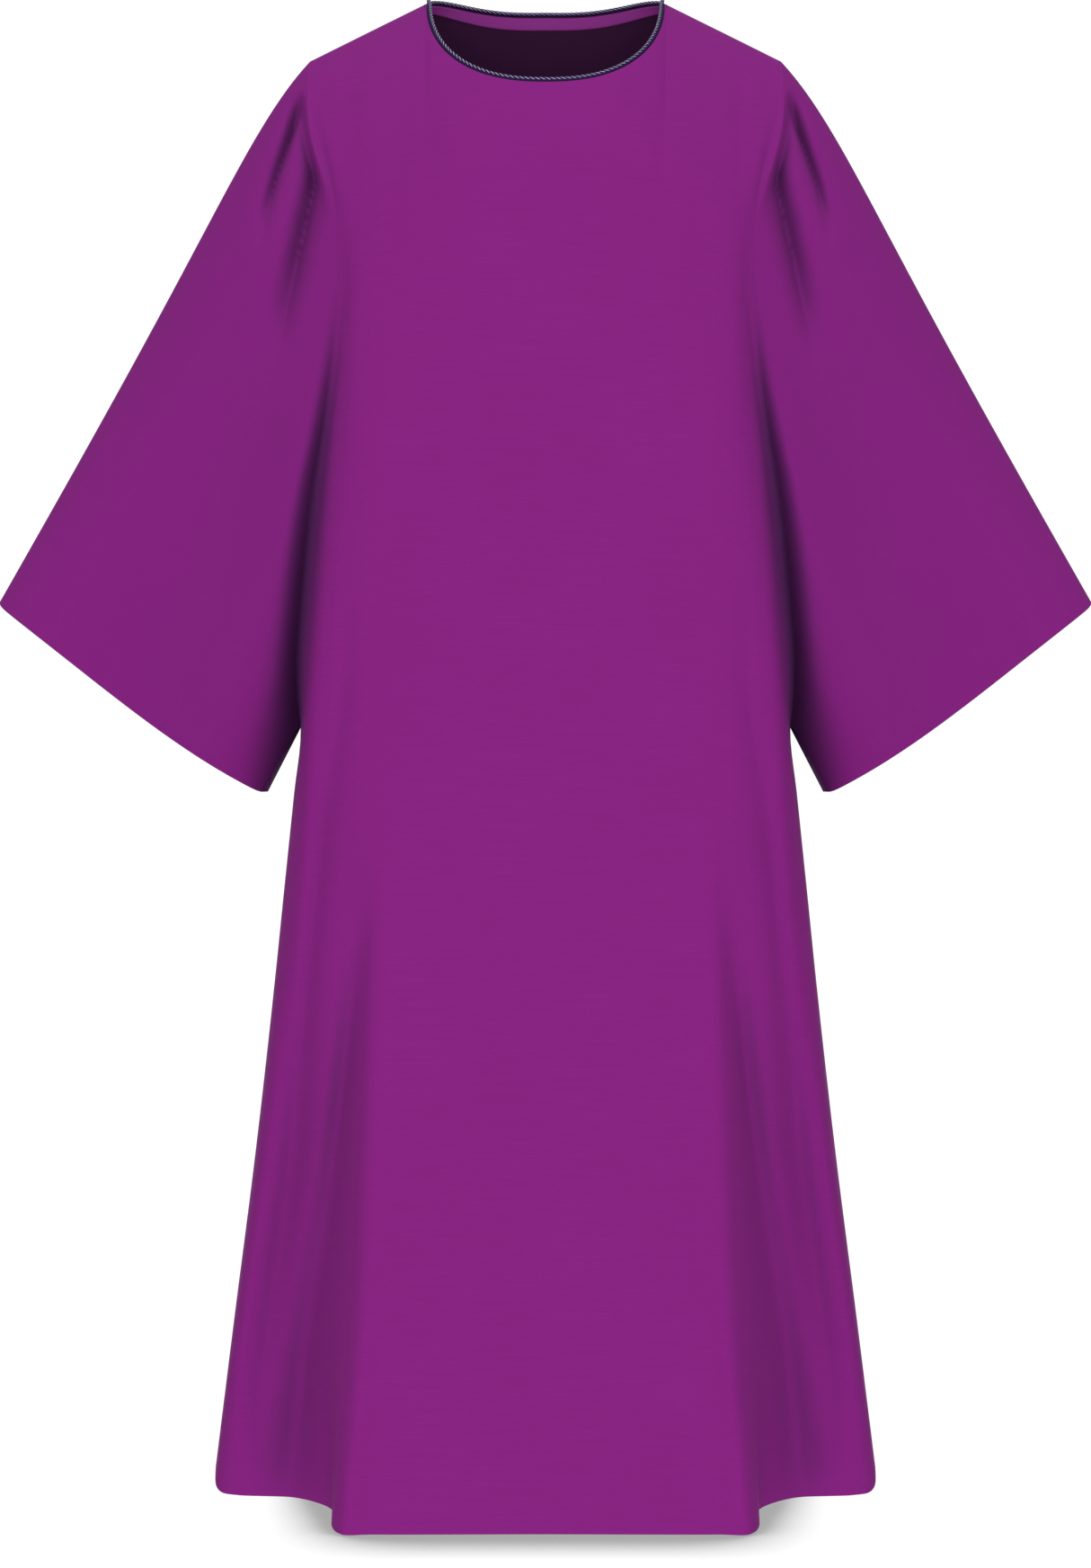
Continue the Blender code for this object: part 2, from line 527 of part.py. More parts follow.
def build():
    for old in list(bpy.data.objects):
        bpy.data.objects.remove(old, do_unlink=True)
    collection = bpy.data.collections.new("dalmatic")
    bpy.context.scene.collection.children.link(collection)
    purple = cloth_material("purple_cloth", PURPLE, 0.75)
    facing_cloth = cloth_material("facing_cloth", FACING_PURPLE, 0.8)
    navy = cloth_material("navy_cord", NAVY, 0.6)

    front = body_grid(-1)
    back = body_grid(1)
    left = sleeve_grid(front, back)
    right = mirrored(left)
    normals = {}
    add_normals(front, False, normals)
    add_normals([row[::-1] for row in back], False, normals)
    add_normals(left, True, normals)
    add_normals(right, True, normals)
    for normal in normals.values():
        normal.normalize()

    middle = len(front[0]) // 2
    top = len(front) - 1

    def sewn(row, column):
        """Whether a place on a panel's edge is on a seam, and not on the hem or neckline."""
        return 0 < row < top or (row == top and abs(column - middle) >= NECK_CELLS)

    for name, grid in (("front", front), ("back", back)):
        make_object(name, wall_from(grid, False, sewn, normals), purple, collection)
    for name, grid in (("sleeve_left", left), ("sleeve_right", right)):
        wall = wall_from(grid, True, lambda row, column: row == 0, normals)
        make_object(name, wall, purple, collection)
    make_object("neck_facing", neck_facing(back, normals), facing_cloth, collection)
    neck_cord(neck_ring(front, back, normals), navy, collection)


build()
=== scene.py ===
"""The looks of a plain dalmatic with a corded round neck, empty but filled out as when worn.

Metres, +Z up, front towards -Y. Left and right are the wearer's, so left is +X. The origin lies
between the two neck points. Every cloth piece is a thin shell, shaped by guides close to those of
its solid, with the finer folds added.
"""
import math

import bpy
import numpy as np
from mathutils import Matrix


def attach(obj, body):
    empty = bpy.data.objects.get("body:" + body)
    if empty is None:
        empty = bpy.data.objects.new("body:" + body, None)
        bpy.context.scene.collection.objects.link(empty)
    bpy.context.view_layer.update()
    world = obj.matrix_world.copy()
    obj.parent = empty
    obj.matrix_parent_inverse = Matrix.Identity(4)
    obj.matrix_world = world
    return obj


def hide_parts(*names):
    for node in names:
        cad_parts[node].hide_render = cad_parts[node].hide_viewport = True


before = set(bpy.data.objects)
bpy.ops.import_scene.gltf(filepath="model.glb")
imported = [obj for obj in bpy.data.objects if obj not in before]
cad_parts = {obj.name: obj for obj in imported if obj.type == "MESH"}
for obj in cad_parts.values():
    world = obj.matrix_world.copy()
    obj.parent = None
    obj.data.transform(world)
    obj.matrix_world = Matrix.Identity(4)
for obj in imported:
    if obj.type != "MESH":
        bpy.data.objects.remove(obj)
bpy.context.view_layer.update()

# The camera
# It stands level with the garment's middle and square to its front, as the photograph was taken.
PHOTO_HEIGHT = 1744  # pixels
PIXEL = 0.00082  # width of a pixel at the plane of the side seams
CAMERA_DISTANCE = 3.0  # from that plane
CAMERA_HEIGHT = -0.711
SENSOR_MM = 24.0  # height of its sensor

camera_data = bpy.data.cameras.new("camera")
camera_data.sensor_fit = "VERTICAL"
camera_data.sensor_height = SENSOR_MM
camera_data.lens = SENSOR_MM * CAMERA_DISTANCE / (PHOTO_HEIGHT * PIXEL)
camera = bpy.data.objects.new("camera", camera_data)
camera.location = (0.0, -CAMERA_DISTANCE, CAMERA_HEIGHT)
camera.rotation_euler = (math.radians(90), 0.0, 0.0)
bpy.context.scene.collection.objects.link(camera)
bpy.context.scene.camera = camera

# Front panel
# One piece of plain dress cloth from the shoulder seams to the hem. It stands forward as a flat
# panel over the chest and knees, turns back at the panel's edges and falls in soft folds to the
# side seams. Neckline and hem are turned in, and no stitch shows on the right side.
WALL = 0.002  # cloth with its turnings
HEM = -1.3507  # the hem's height
HEM_TURNING = 0.034  # depth of the hem turned up inside
TURNING_WALL = 0.001  # what the turning adds to the wall
TURNING_FADE = 0.002  # height over which that thins out
EDGE_ROUNDING = 0.0007  # how far a turned edge stands out past its folded cloth
SHARP_ANGLE = math.radians(62)  # cloth that bends by more than this is shaded as an edge
NECK_HALF_WIDTH = 0.108
NECK_SQUARENESS = 2.3  # at 2 the neckline would be half an ellipse
FRONT_NECK_DROP = 0.0945  # from the neck points down to the front neckline's middle
BACK_NECK_REACH = 0.044  # from the neck points back to the back neckline's middle
SHOULDER_X = 0.2145  # where a shoulder seam meets the armhole
SHOULDER_SLOPE = 0.49
SHOULDER_ARCH = 0.20  # height over which a shoulder rounds down to the front or the back
ARCH_POWER = 0.55  # at 0.5 that would be a quarter of an ellipse
UPPER_FORM = 0.20  # down to this drop a panel follows the rounded form of the shoulders
UPPER_BLEND = 0.10  # it passes to its guides over this much more
UNDERARM = -0.66
LIFT_FROM = 0.50  # above this drop the rows bend towards the top edge
COLUMN_HASTE = 1.6  # columns reach their guides so many times sooner than the rows are level
SIDE_HASTE = 2.6  # the same at the armhole
HASTE_FROM = 0.5  # share of the way to a side at which the one begins to pass to the other
HEM_CORNER = 0.0145  # radius of the hem's corner at a side seam
HEM_CORNER_FADE = 0.042  # height in which the rows over it are level again
SIDE_FLARE = 0.126  # how far a side seam leans out for its way down
SEAM_FADE = 0.07  # share of the way beside a side seam over which the folds fade out
NECK_SHARE = 0.36  # share of the way from the centre to a side that lies below the neckline
NECK_CELLS = 36  # columns across that share
SHOULDER_CELLS = 64  # columns from there to the side
HEM_ROWS = np.array((0.0, 0.004, 0.012, 0.022, 0.033, 0.036))  # rows over the hem's turning
ROWS_BELOW = 56  # rows from there up to the underarm
ROWS_ABOVE = 150  # rows from the underarm up to the top edge, closer together near the top
ROW_CROWDING = 1.35
NECK_STEPS = 240  # close steps in which half the neckline is measured out
HEIGHT_HALVINGS = 30  # with which a height on the shoulders' form is closed in on
CLOTH_PURPLE = (0.239, 0.0138, 0.216)
PAINTED_FOLD_SHADE = (0.090, 0.023, 0.118)  # painted shade: the darker, bluer tone mixed into the cloth's colour deep in its folds
PAINTED_SHADE_REACH = 0.08  # cloth nearer than this paints that shade into a fold
PAINTED_SHADE_SAMPLES = 6
BODY_PAINTED_SHADE = 1.4  # how fast the painted shade takes over as a fold deepens
# the cloth's wrong side: a little duller, and painted much darker still as shade inside the hollow
# garment
WRONG_SIDE_SHADE_PURPLE = (0.060, 0.013, 0.062)
THREAD = 0.00055  # from one thread to the next
SLUBS = (14.0, 520.0)  # slubs a metre, across and up the cloth
MOTTLE = (850.0, 850.0)  # spots of its finest unevenness
CLOUDS = (9.0, 6.0)  # and of its broadest
CLOUD_TONE = 0.05
THREAD_RELIEF = 0.00006
SLUB_RELIEF = 1.2  # times a thread's
MOTTLE_RELIEF = 0.8
CLOTH_ROUGHNESS = 0.9
FIBRE_SPECULAR = 0.12

# Guides run up the panel, each at its share of the way from the centre to the side, through rows
# of (height, out, forward). A section is a smooth line across all of them.
FRONT_GUIDES = {
    "centre": (0.00, ((-1.3507, 0.0, 0.194), (-0.90, 0.0, 0.178), (-0.60, 0.0, 0.164),
                      (-0.35, 0.0, 0.151), (-0.20, 0.0, 0.138), (-0.08, 0.0, 0.122))),
    "panel": (0.30, ((-1.3507, 0.146, 0.195), (-0.90, 0.119, 0.175), (-0.60, 0.106, 0.161),
                     (-0.35, 0.100, 0.148), (-0.20, 0.094, 0.132), (-0.08, 0.090, 0.112))),
    "edge": (0.42, ((-1.3507, 0.176, 0.193), (-1.20, 0.163, 0.185), (-1.05, 0.1555, 0.176),
                    (-0.90, 0.148, 0.171), (-0.75, 0.140, 0.164), (-0.60, 0.134, 0.156),
                    (-0.35, 0.127, 0.144), (-0.20, 0.118, 0.128), (-0.08, 0.114, 0.108))),
    "wall": (0.50, ((-1.3507, 0.1848, 0.162), (-1.20, 0.1765, 0.156), (-1.05, 0.167, 0.155),
                    (-0.90, 0.160, 0.159), (-0.75, 0.153, 0.160), (-0.60, 0.148, 0.153),
                    (-0.35, 0.142, 0.141), (-0.20, 0.133, 0.124), (-0.08, 0.128, 0.104))),
    "dip": (0.58, ((-1.3507, 0.1875, 0.104), (-1.20, 0.192, 0.114), (-1.05, 0.181, 0.125),
                   (-0.90, 0.172, 0.147), (-0.75, 0.166, 0.155), (-0.60, 0.161, 0.150),
                   (-0.35, 0.155, 0.137), (-0.20, 0.148, 0.120), (-0.08, 0.144, 0.098))),
    "swell": (0.66, ((-1.3507, 0.208, 0.070), (-1.20, 0.210, 0.090), (-1.05, 0.198, 0.106),
                     (-0.90, 0.187, 0.139), (-0.75, 0.180, 0.148), (-0.60, 0.174, 0.145),
                     (-0.35, 0.165, 0.132), (-0.20, 0.160, 0.115), (-0.08, 0.160, 0.092))),
    "hollow": (0.75, ((-1.3507, 0.243, 0.050), (-1.20, 0.232, 0.072), (-1.05, 0.2165, 0.087),
                      (-0.90, 0.2025, 0.130), (-0.75, 0.195, 0.138), (-0.60, 0.188, 0.138),
                      (-0.51, 0.184, 0.134), (-0.43, 0.178, 0.130), (-0.35, 0.173, 0.125),
                      (-0.27, 0.170, 0.118), (-0.20, 0.170, 0.109), (-0.08, 0.175, 0.084))),
    "ridge": (0.84, ((-1.3507, 0.277, 0.041), (-1.20, 0.260, 0.059), (-1.05, 0.241, 0.074),
                     (-0.90, 0.2245, 0.112), (-0.75, 0.213, 0.120), (-0.66, 0.208, 0.121),
                     (-0.60, 0.203, 0.122), (-0.51, 0.1955, 0.120), (-0.43, 0.188, 0.118),
                     (-0.35, 0.180, 0.116), (-0.27, 0.175, 0.112), (-0.20, 0.1765, 0.105),
                     (-0.08, 0.189, 0.078))),
    "turn": (0.93, ((-1.3507, 0.298, 0.022), (-1.20, 0.2785, 0.036), (-1.05, 0.258, 0.048),
                    (-0.90, 0.241, 0.070), (-0.75, 0.2265, 0.070), (-0.66, 0.2165, 0.072),
                    (-0.60, 0.2125, 0.080), (-0.51, 0.2050, 0.091), (-0.43, 0.196, 0.100),
                    (-0.35, 0.185, 0.107), (-0.27, 0.1795, 0.107), (-0.20, 0.1825, 0.100),
                    (-0.14, 0.194, 0.0865), (-0.08, 0.2025, 0.070))),
    "seam": (1.00, ((-1.3507, 0.304, -0.012), (-1.20, 0.285, -0.010), (-1.05, 0.2655, -0.006),
                    (-0.90, 0.2483, -0.003), (-0.80, 0.2378, 0.0), (-0.72, 0.2295, 0.0),
                    (-0.66, 0.2234, 0.0), (-0.64, 0.2245, 0.018), (-0.60, 0.2240, 0.044),
                    (-0.555, 0.2198, 0.061), (-0.51, 0.2148, 0.073), (-0.47, 0.2098, 0.082),
                    (-0.43, 0.2035, 0.090), (-0.39, 0.196, 0.097), (-0.35, 0.190, 0.102),
                    (-0.31, 0.186, 0.104), (-0.27, 0.184, 0.103), (-0.23, 0.1845, 0.100),
                    (-0.19, 0.188, 0.094), (-0.15, 0.197, 0.084), (-0.11, 0.2085, 0.072),
                    (-0.055, 0.2145, 0.060))),
}

# Soft folds sink into the cloth along rows of (out, height, reach inward, reach outward, depth).
PANEL_FOLD_SOFTNESS = 1.8
FRONT_FOLDS = {
    "beside the panel": (
        (0.158, -0.80, 0.009, 0.010, 0.0), (0.162, -0.859, 0.009, 0.010, 0.004),
        (0.173, -0.953, 0.010, 0.012, 0.011), (0.187, -1.048, 0.013, 0.015, 0.018),
        (0.202, -1.142, 0.016, 0.019, 0.023), (0.2165, -1.237, 0.018, 0.021, 0.025),
        (0.2255, -1.316, 0.020, 0.020, 0.018), (0.229, -1.351, 0.021, 0.018, 0.009)),
    "down the side": (
        (0.1746, -0.540, 0.011, 0.011, 0.0), (0.1778, -0.639, 0.011, 0.011, 0.004),
        (0.1846, -0.686, 0.011, 0.011, 0.005), (0.193, -0.745, 0.011, 0.012, 0.006),
        (0.2068, -0.861, 0.012, 0.014, 0.009), (0.2181, -0.957, 0.013, 0.016, 0.013),
        (0.2278, -1.055, 0.015, 0.017, 0.015), (0.2422, -1.153, 0.017, 0.018, 0.017),
        (0.2561, -1.252, 0.018, 0.018, 0.012), (0.262, -1.33, 0.018, 0.018, 0.001)),
}


def smooth(knots, values, at):
    """A smooth line through values at rising knots, straight beyond its ends, at many places.

    Knots and values hold a row for each place, or one row for all of them."""
    at = np.asarray(at, dtype=float)
    knots, values, _ = np.broadcast_arrays(knots, values, np.empty(at.shape + (1,)))
    widths = np.diff(knots, axis=-1)
    rises = np.diff(values, axis=-1) / widths
    middle = rises[..., :-1] * widths[..., 1:] + rises[..., 1:] * widths[..., :-1]
    middle = middle / (widths[..., 1:] + widths[..., :-1])
    slopes = np.concatenate((rises[..., :1], middle, rises[..., -1:]), axis=-1)
    cell = np.clip((at[..., None] > knots).sum(axis=-1) - 1, 0, knots.shape[-1] - 2)

    def pick(rows, shift=0):
        return np.take_along_axis(rows, cell[..., None] + shift, axis=-1)[..., 0]

    width = pick(widths)
    t = (at - pick(knots)) / width
    inside = np.clip(t, 0.0, 1.0)
    line = pick(values) * (1 + 2 * inside) * (1 - inside) ** 2
    line += pick(slopes) * width * inside * (1 - inside) ** 2
    line += pick(values, 1) * inside ** 2 * (3 - 2 * inside)
    line += pick(slopes, 1) * width * inside ** 2 * (inside - 1)
    beyond = np.minimum(t, 0.0) * pick(slopes) + np.maximum(t - 1, 0.0) * pick(slopes, 1)
    return line + beyond * width


def ease(t):
    """0 to 1, level at both ends."""
    t = np.clip(t, 0.0, 1.0)
    return t * t * (3 - 2 * t)


def guide_sections(guides, heights):
    """Shares, and the guides' out and forward at each height, from one side to the other."""
    shares = np.array([at for at, _ in guides.values()])
    outs = []
    forwards = []
    for _, rows in guides.values():
        table = np.array(rows)
        outs.append(smooth(table[:, 0], table[:, 1], heights))
        forwards.append(smooth(table[:, 0], table[:, 2], heights))
    outs = np.stack(outs, axis=-1)
    forwards = np.stack(forwards, axis=-1)
    return (np.concatenate((-shares[:0:-1], shares)),
            np.concatenate((-outs[..., :0:-1], outs), axis=-1),
            np.concatenate((forwards[..., :0:-1], forwards), axis=-1))


def shoulder_line(x):
    """Height of the ridge over the shoulders, which flattens above the neck opening."""
    x = np.abs(x)
    rounded = SHOULDER_SLOPE * (NECK_HALF_WIDTH ** 2 - x * x) / (2 * NECK_HALF_WIDTH)
    return np.where(x >= NECK_HALF_WIDTH, -SHOULDER_SLOPE * (x - NECK_HALF_WIDTH), rounded)


def form_forward(guides, x, z):
    """How far forward the form stands at places of the upper garment's front view."""
    _, outs, forwards = guide_sections(guides, z)
    t = np.clip((shoulder_line(x) - z) / SHOULDER_ARCH, 0.0, 1.0)
    return smooth(outs, forwards, np.minimum(x, outs[..., -1])) * (1 - (1 - t) ** 2) ** ARCH_POWER


def form_height(guides, x, forward):
    """Heights at which the upper form stands so far forward."""
    low = np.full_like(x, -FRONT_NECK_DROP)
    high = shoulder_line(x)
    for _ in range(HEIGHT_HALVINGS):
        middle = (low + high) / 2
        inside = form_forward(guides, x, middle) > forward
        low = np.where(inside, middle, low)
        high = np.where(inside, high, middle)
    return high


def top_edge(guides, side, shares):
    """Out and height of a panel's top edge: half the neckline, and then the shoulder seam."""
    turn = np.linspace(math.pi / 2, 0.0, NECK_STEPS + 1)
    x = NECK_HALF_WIDTH * np.abs(np.cos(turn)) ** (2 / NECK_SQUARENESS)
    inward = np.abs(np.sin(turn)) ** (2 / NECK_SQUARENESS)
    z = -FRONT_NECK_DROP * inward
    if side > 0:
        z = form_height(guides, x, BACK_NECK_REACH * inward ** 2)
    line = np.stack((x, form_forward(guides, x, z), z), axis=-1)
    length = np.concatenate(([0.0], np.cumsum(np.linalg.norm(np.diff(line, axis=0), axis=1))))
    goal = length[-1] * np.minimum(shares, NECK_SHARE) / NECK_SHARE
    beyond = np.clip((shares - NECK_SHARE) / (1 - NECK_SHARE), 0.0, 1.0)
    top_x = np.where(shares < NECK_SHARE, np.interp(goal, length, x),
                     NECK_HALF_WIDTH + (SHOULDER_X - NECK_HALF_WIDTH) * beyond)
    top_z = np.where(shares < NECK_SHARE, np.interp(goal, length, z), shoulder_line(top_x))
    return top_x, top_z


def fold_depth(folds, softness, x, z):
    """How far the folds sink the cloth at places of the front view.

    At a softness of 2 they are soft troughs, and at 1 sharp ones."""
    total = np.zeros(np.broadcast(x, z).shape)
    for rows in folds.values():
        table = np.array(rows)
        place = np.clip(-z, -table[0, 1], -table[-1, 1])
        out, inward, outward, depth = (
            smooth(-table[:, 1], table[:, k], place) for k in (0, 2, 3, 4))
        reach = np.where(x < out, inward, outward)
        total += depth * np.exp(-np.abs((x - out) / reach) ** softness)
    return total


def panel_grid(guides, folds, side):
    """Outer points of a body panel: rows from the hem up, columns from right (-X) to left (+X).

    Side is -1 for the front and 1 for the back."""
    half = np.concatenate((np.linspace(0, NECK_SHARE, NECK_CELLS + 1),
                           np.linspace(NECK_SHARE, 1.0, SHOULDER_CELLS + 1)[1:]))
    shares = np.concatenate((-half[:0:-1], half))
    over_hem = -HEM - HEM_ROWS
    below = np.linspace(over_hem[-1], -UNDERARM, ROWS_BELOW + 1)[1:-1]
    above = -UNDERARM * np.linspace(1, 0, ROWS_ABOVE + 1) ** ROW_CROWDING
    drops = np.concatenate((over_hem, below, above))[:, None]
    top_x, top_z = top_edge(guides, side, np.abs(shares))
    z = -drops + (1 - ease(drops / LIFT_FROM)) * top_z
    at, outs, forwards = guide_sections(guides, z)
    share = np.broadcast_to(np.abs(shares), z.shape)
    sideways = ease((share - HASTE_FROM) / (1 - HASTE_FROM))
    haste = COLUMN_HASTE + (SIDE_HASTE - COLUMN_HASTE) * sideways
    x = top_x + ease(drops / LIFT_FROM * haste) * (smooth(at, outs, share) - top_x)
    low = ease((drops - UPPER_FORM) / UPPER_BLEND)
    forward = low * smooth(at, forwards, share) + (1 - low) * form_forward(guides, x, z)
    sunk = fold_depth(folds, PANEL_FOLD_SOFTNESS, x, z)
    forward = forward - sunk * low * ease((1 - share) / SEAM_FADE)
    # The hem's corner is a quarter circle, and the cloth that it lifts stays on the leaning seam.
    in_corner = np.clip(1 - (x[:, -1:] - x) / HEM_CORNER, 0.0, 1.0)
    fade = 1 - ease((z - HEM) / HEM_CORNER_FADE)
    lift = HEM_CORNER * (1 - (1 - in_corner ** 2) ** 0.5) * fade
    z = z + lift
    x = x - SIDE_FLARE * lift
    return np.stack((np.sign(shares) * x, side * forward, z), axis=-1)


def grid_normals(grid, closed, outward):
    """Unit normals of a grid of points. Outward is 1 where across x up points out, else -1."""
    if closed:
        across = np.roll(grid, -1, axis=1) - np.roll(grid, 1, axis=1)
    else:
        across = np.gradient(grid, axis=1)
    normals = outward * np.cross(across, np.gradient(grid, axis=0))
    return normals / np.linalg.norm(normals, axis=-1, keepdims=True)


def cloth_lengths(grid):
    """Lengths along the cloth, across from the middle column and up from the first row."""
    across = np.linalg.norm(np.diff(grid, axis=1), axis=-1)
    across = np.concatenate((np.zeros((len(grid), 1)), np.cumsum(across, axis=1)), axis=1)
    across -= across[:, grid.shape[1] // 2][:, None]
    up = np.linalg.norm(np.diff(grid, axis=0), axis=-1)
    up = np.concatenate((np.zeros((1, grid.shape[1])), np.cumsum(up, axis=0)), axis=0)
    return np.stack((across, up), axis=-1)


def cloth_shell(name, grid, closed, outward, thickness, turned_in, cloths):
    """A thin closed shell under a grid of outer points.

    Turned_in says, for the first row, the last row and the sides, whether the edge is turned in,
    which rounds it. Cloths are the materials of its right and its wrong side."""
    rows, columns = grid.shape[:2]
    skin_points = rows * columns
    normals = grid_normals(grid, closed, outward)
    inner = grid - normals * thickness[..., None]
    places = [grid.reshape(-1, 3), inner.reshape(-1, 3)]
    number = np.arange(skin_points).reshape(rows, columns)
    faces = []
    cells = np.arange(columns if closed else columns - 1)
    after = (cells + 1) % columns
    for skin, as_wound in ((number, outward > 0), (number + skin_points, outward < 0)):
        quads = (skin[:-1, cells], skin[:-1, after], skin[1:, after], skin[1:, cells])
        quads = np.stack(quads, axis=-1)
        faces.append((quads if as_wound else quads[..., ::-1]).reshape(-1, 4))
    edges = [(number[0], grid[0] - grid[1], turned_in[0], closed),
             (number[-1, ::-1], (grid[-1] - grid[-2])[::-1], turned_in[1], closed)]
    if not closed:
        edges.append((number[::-1, 0], (grid[:, 0] - grid[:, 1])[::-1], turned_in[2], False))
        edges.append((number[:, -1], grid[:, -1] - grid[:, -2], turned_in[2], False))
    count = 2 * skin_points
    for line, past, rounded, ring in edges:
        past = past / np.linalg.norm(past, axis=-1, keepdims=True)
        halfway = places[0][line] * 0.5 + places[1][line] * 0.5
        places.append(halfway + past * (EDGE_ROUNDING if rounded else 0.0))
        middle = count + np.arange(len(line))
        count += len(line)
        first = np.arange(len(line) if ring else len(line) - 1)
        second = (first + 1) % len(line)
        for a, b in ((line + skin_points, middle), (middle, line)):
            quads = np.stack((a[first], a[second], b[second], b[first]), axis=-1)
            faces.append(quads if outward > 0 else quads[:, ::-1])
    points = np.concatenate(places)
    faces = np.concatenate(faces)
    mesh = bpy.data.meshes.new(name)
    mesh.from_pydata(points.tolist(), [], faces.tolist())
    for cloth in cloths:
        mesh.materials.append(cloth)
    wrong_side = np.arange(len(faces)) // ((rows - 1) * len(cells)) == 1
    mesh.polygons.foreach_set("material_index", wrong_side.astype(np.int32))
    mesh.shade_smooth()
    mesh.set_sharp_from_angle(angle=SHARP_ANGLE)

    # The weave lies by lengths along the cloth, the same on both sides and at the edges.
    lengths = cloth_lengths(np.concatenate((grid, grid[:, :1]), axis=1) if closed else grid)
    lengths = lengths[:, :columns].reshape(-1, 2)
    by_point = np.concatenate([lengths, lengths] + [lengths[line] for line, _, _, _ in edges])
    corners = np.empty(len(mesh.loops), dtype=int)
    mesh.loops.foreach_get("vertex_index", corners)
    weave = mesh.uv_layers.new(name="cloth")
    weave.data.foreach_set("uv", by_point[corners].ravel())
    piece = bpy.data.objects.new(name, mesh)
    bpy.context.scene.collection.objects.link(piece)
    return piece


def turned_wall(grid):
    """Thickness of a piece of cloth, which is more over the turning along its first row."""
    up = cloth_lengths(grid)[..., 1]
    return WALL + TURNING_WALL * (1 - ease((up - HEM_TURNING) / TURNING_FADE))


def new_material(name):
    """A material with its node tree and its shader."""
    material = bpy.data.materials.new(name)
    material.use_nodes = True
    return material, material.node_tree, material.node_tree.nodes["Principled BSDF"]


def math_node(tree, operation, *values):
    """The result of one sum on sockets or numbers."""
    node = tree.nodes.new("ShaderNodeMath")
    node.operation = operation
    for socket, value in zip(node.inputs, values):
        if isinstance(value, (int, float)):
            socket.default_value = value
        else:
            tree.links.new(value, socket)
    return node.outputs[0]


def noise(tree, lengths, scale, detail, roughness):
    """Noise from 0 to 1, with so many spots a metre across and up the cloth."""
    mapping = tree.nodes.new("ShaderNodeMapping")
    mapping.inputs["Scale"].default_value = (*scale, 1.0)
    tree.links.new(lengths, mapping.inputs["Vector"])
    spots = tree.nodes.new("ShaderNodeTexNoise")
    spots.inputs["Scale"].default_value = 1.0
    spots.inputs["Detail"].default_value = detail
    spots.inputs["Roughness"].default_value = roughness
    tree.links.new(mapping.outputs["Vector"], spots.inputs["Vector"])
    return spots.outputs["Fac"]


def tone(tree, spots, spread):
    """A factor that noise moves up and down about 1, over the spread."""
    return math_node(tree, "MULTIPLY_ADD", spots, spread, 1.0 - spread / 2)


def toned_colour(tree, colour, factor):
    """A colour made lighter or darker by a factor."""
    shade = tree.nodes.new("ShaderNodeVectorMath")
    shade.operation = "SCALE"
    shade.inputs[0].default_value = colour
    tree.links.new(factor, shade.inputs["Scale"])
    return shade.outputs["Vector"]


def add_relief(tree, shader, height, strength, distance):
    """Relief too fine for the mesh, so many metres high."""
    bump = tree.nodes.new("ShaderNodeBump")
    bump.inputs["Strength"].default_value = strength
    bump.inputs["Distance"].default_value = distance
    tree.links.new(height, bump.inputs["Height"])
    tree.links.new(bump.outputs["Normal"], shader.inputs["Normal"])


def woven_cloth(name, colour, streaks, grain, slub_scale, painted_shade=0.0, painted_shade_reach=PAINTED_SHADE_REACH):
    """Plain-woven dress cloth: fine threads both ways, faint slubs, and shade painted into its
    folds.

    Streaks and grain are how far the slubs and the mottle change its tone."""
    material, tree, shader = new_material(name)
    by_length = tree.nodes.new("ShaderNodeUVMap")
    by_length.uv_map = "cloth"
    lengths = by_length.outputs["UV"]
    slubs = noise(tree, lengths, slub_scale, detail=3.0, roughness=0.6)
    mottle = noise(tree, lengths, MOTTLE, detail=4.0, roughness=0.7)
    clouds = noise(tree, lengths, CLOUDS, detail=2.0, roughness=0.5)
    uneven = math_node(tree, "MULTIPLY", tone(tree, slubs, streaks), tone(tree, mottle, grain))
    uneven = math_node(tree, "MULTIPLY", uneven, tone(tree, clouds, CLOUD_TONE))
    # Painted shade: the nearer other cloth is, the more the colour is mixed towards the dark fold
    # tone.
    painted_shade_ao = tree.nodes.new("ShaderNodeAmbientOcclusion")
    painted_shade_ao.samples = PAINTED_SHADE_SAMPLES
    painted_shade_ao.inputs["Distance"].default_value = painted_shade_reach
    depth = math_node(tree, "SUBTRACT", 1.0, painted_shade_ao.outputs["AO"])
    painted_shade_mix = tree.nodes.new("ShaderNodeMix")
    painted_shade_mix.data_type = "RGBA"
    tree.links.new(math_node(tree, "MULTIPLY", depth, painted_shade), painted_shade_mix.inputs["Factor"])
    tree.links.new(toned_colour(tree, colour, uneven), painted_shade_mix.inputs["A"])
    painted_shade_mix.inputs["B"].default_value = (*PAINTED_FOLD_SHADE, 1.0)
    tree.links.new(painted_shade_mix.outputs["Result"], shader.inputs["Base Color"])

    split = tree.nodes.new("ShaderNodeSeparateXYZ")
    tree.links.new(lengths, split.inputs[0])
    warp, weft = (
        math_node(tree, "SINE", math_node(tree, "MULTIPLY", split.outputs[axis], math.pi / THREAD))
        for axis in ("X", "Y"))
    relief = math_node(tree, "ABSOLUTE", warp)
    for part in (math_node(tree, "ABSOLUTE", weft), math_node(tree, "MULTIPLY", warp, weft),
                 math_node(tree, "MULTIPLY", slubs, SLUB_RELIEF),
                 math_node(tree, "MULTIPLY", mottle, MOTTLE_RELIEF)):
        relief = math_node(tree, "ADD", relief, part)
    add_relief(tree, shader, relief, strength=0.6, distance=THREAD_RELIEF)
    shader.inputs["Roughness"].default_value = CLOTH_ROUGHNESS
    shader.inputs["Specular IOR Level"].default_value = FIBRE_SPECULAR
    return material


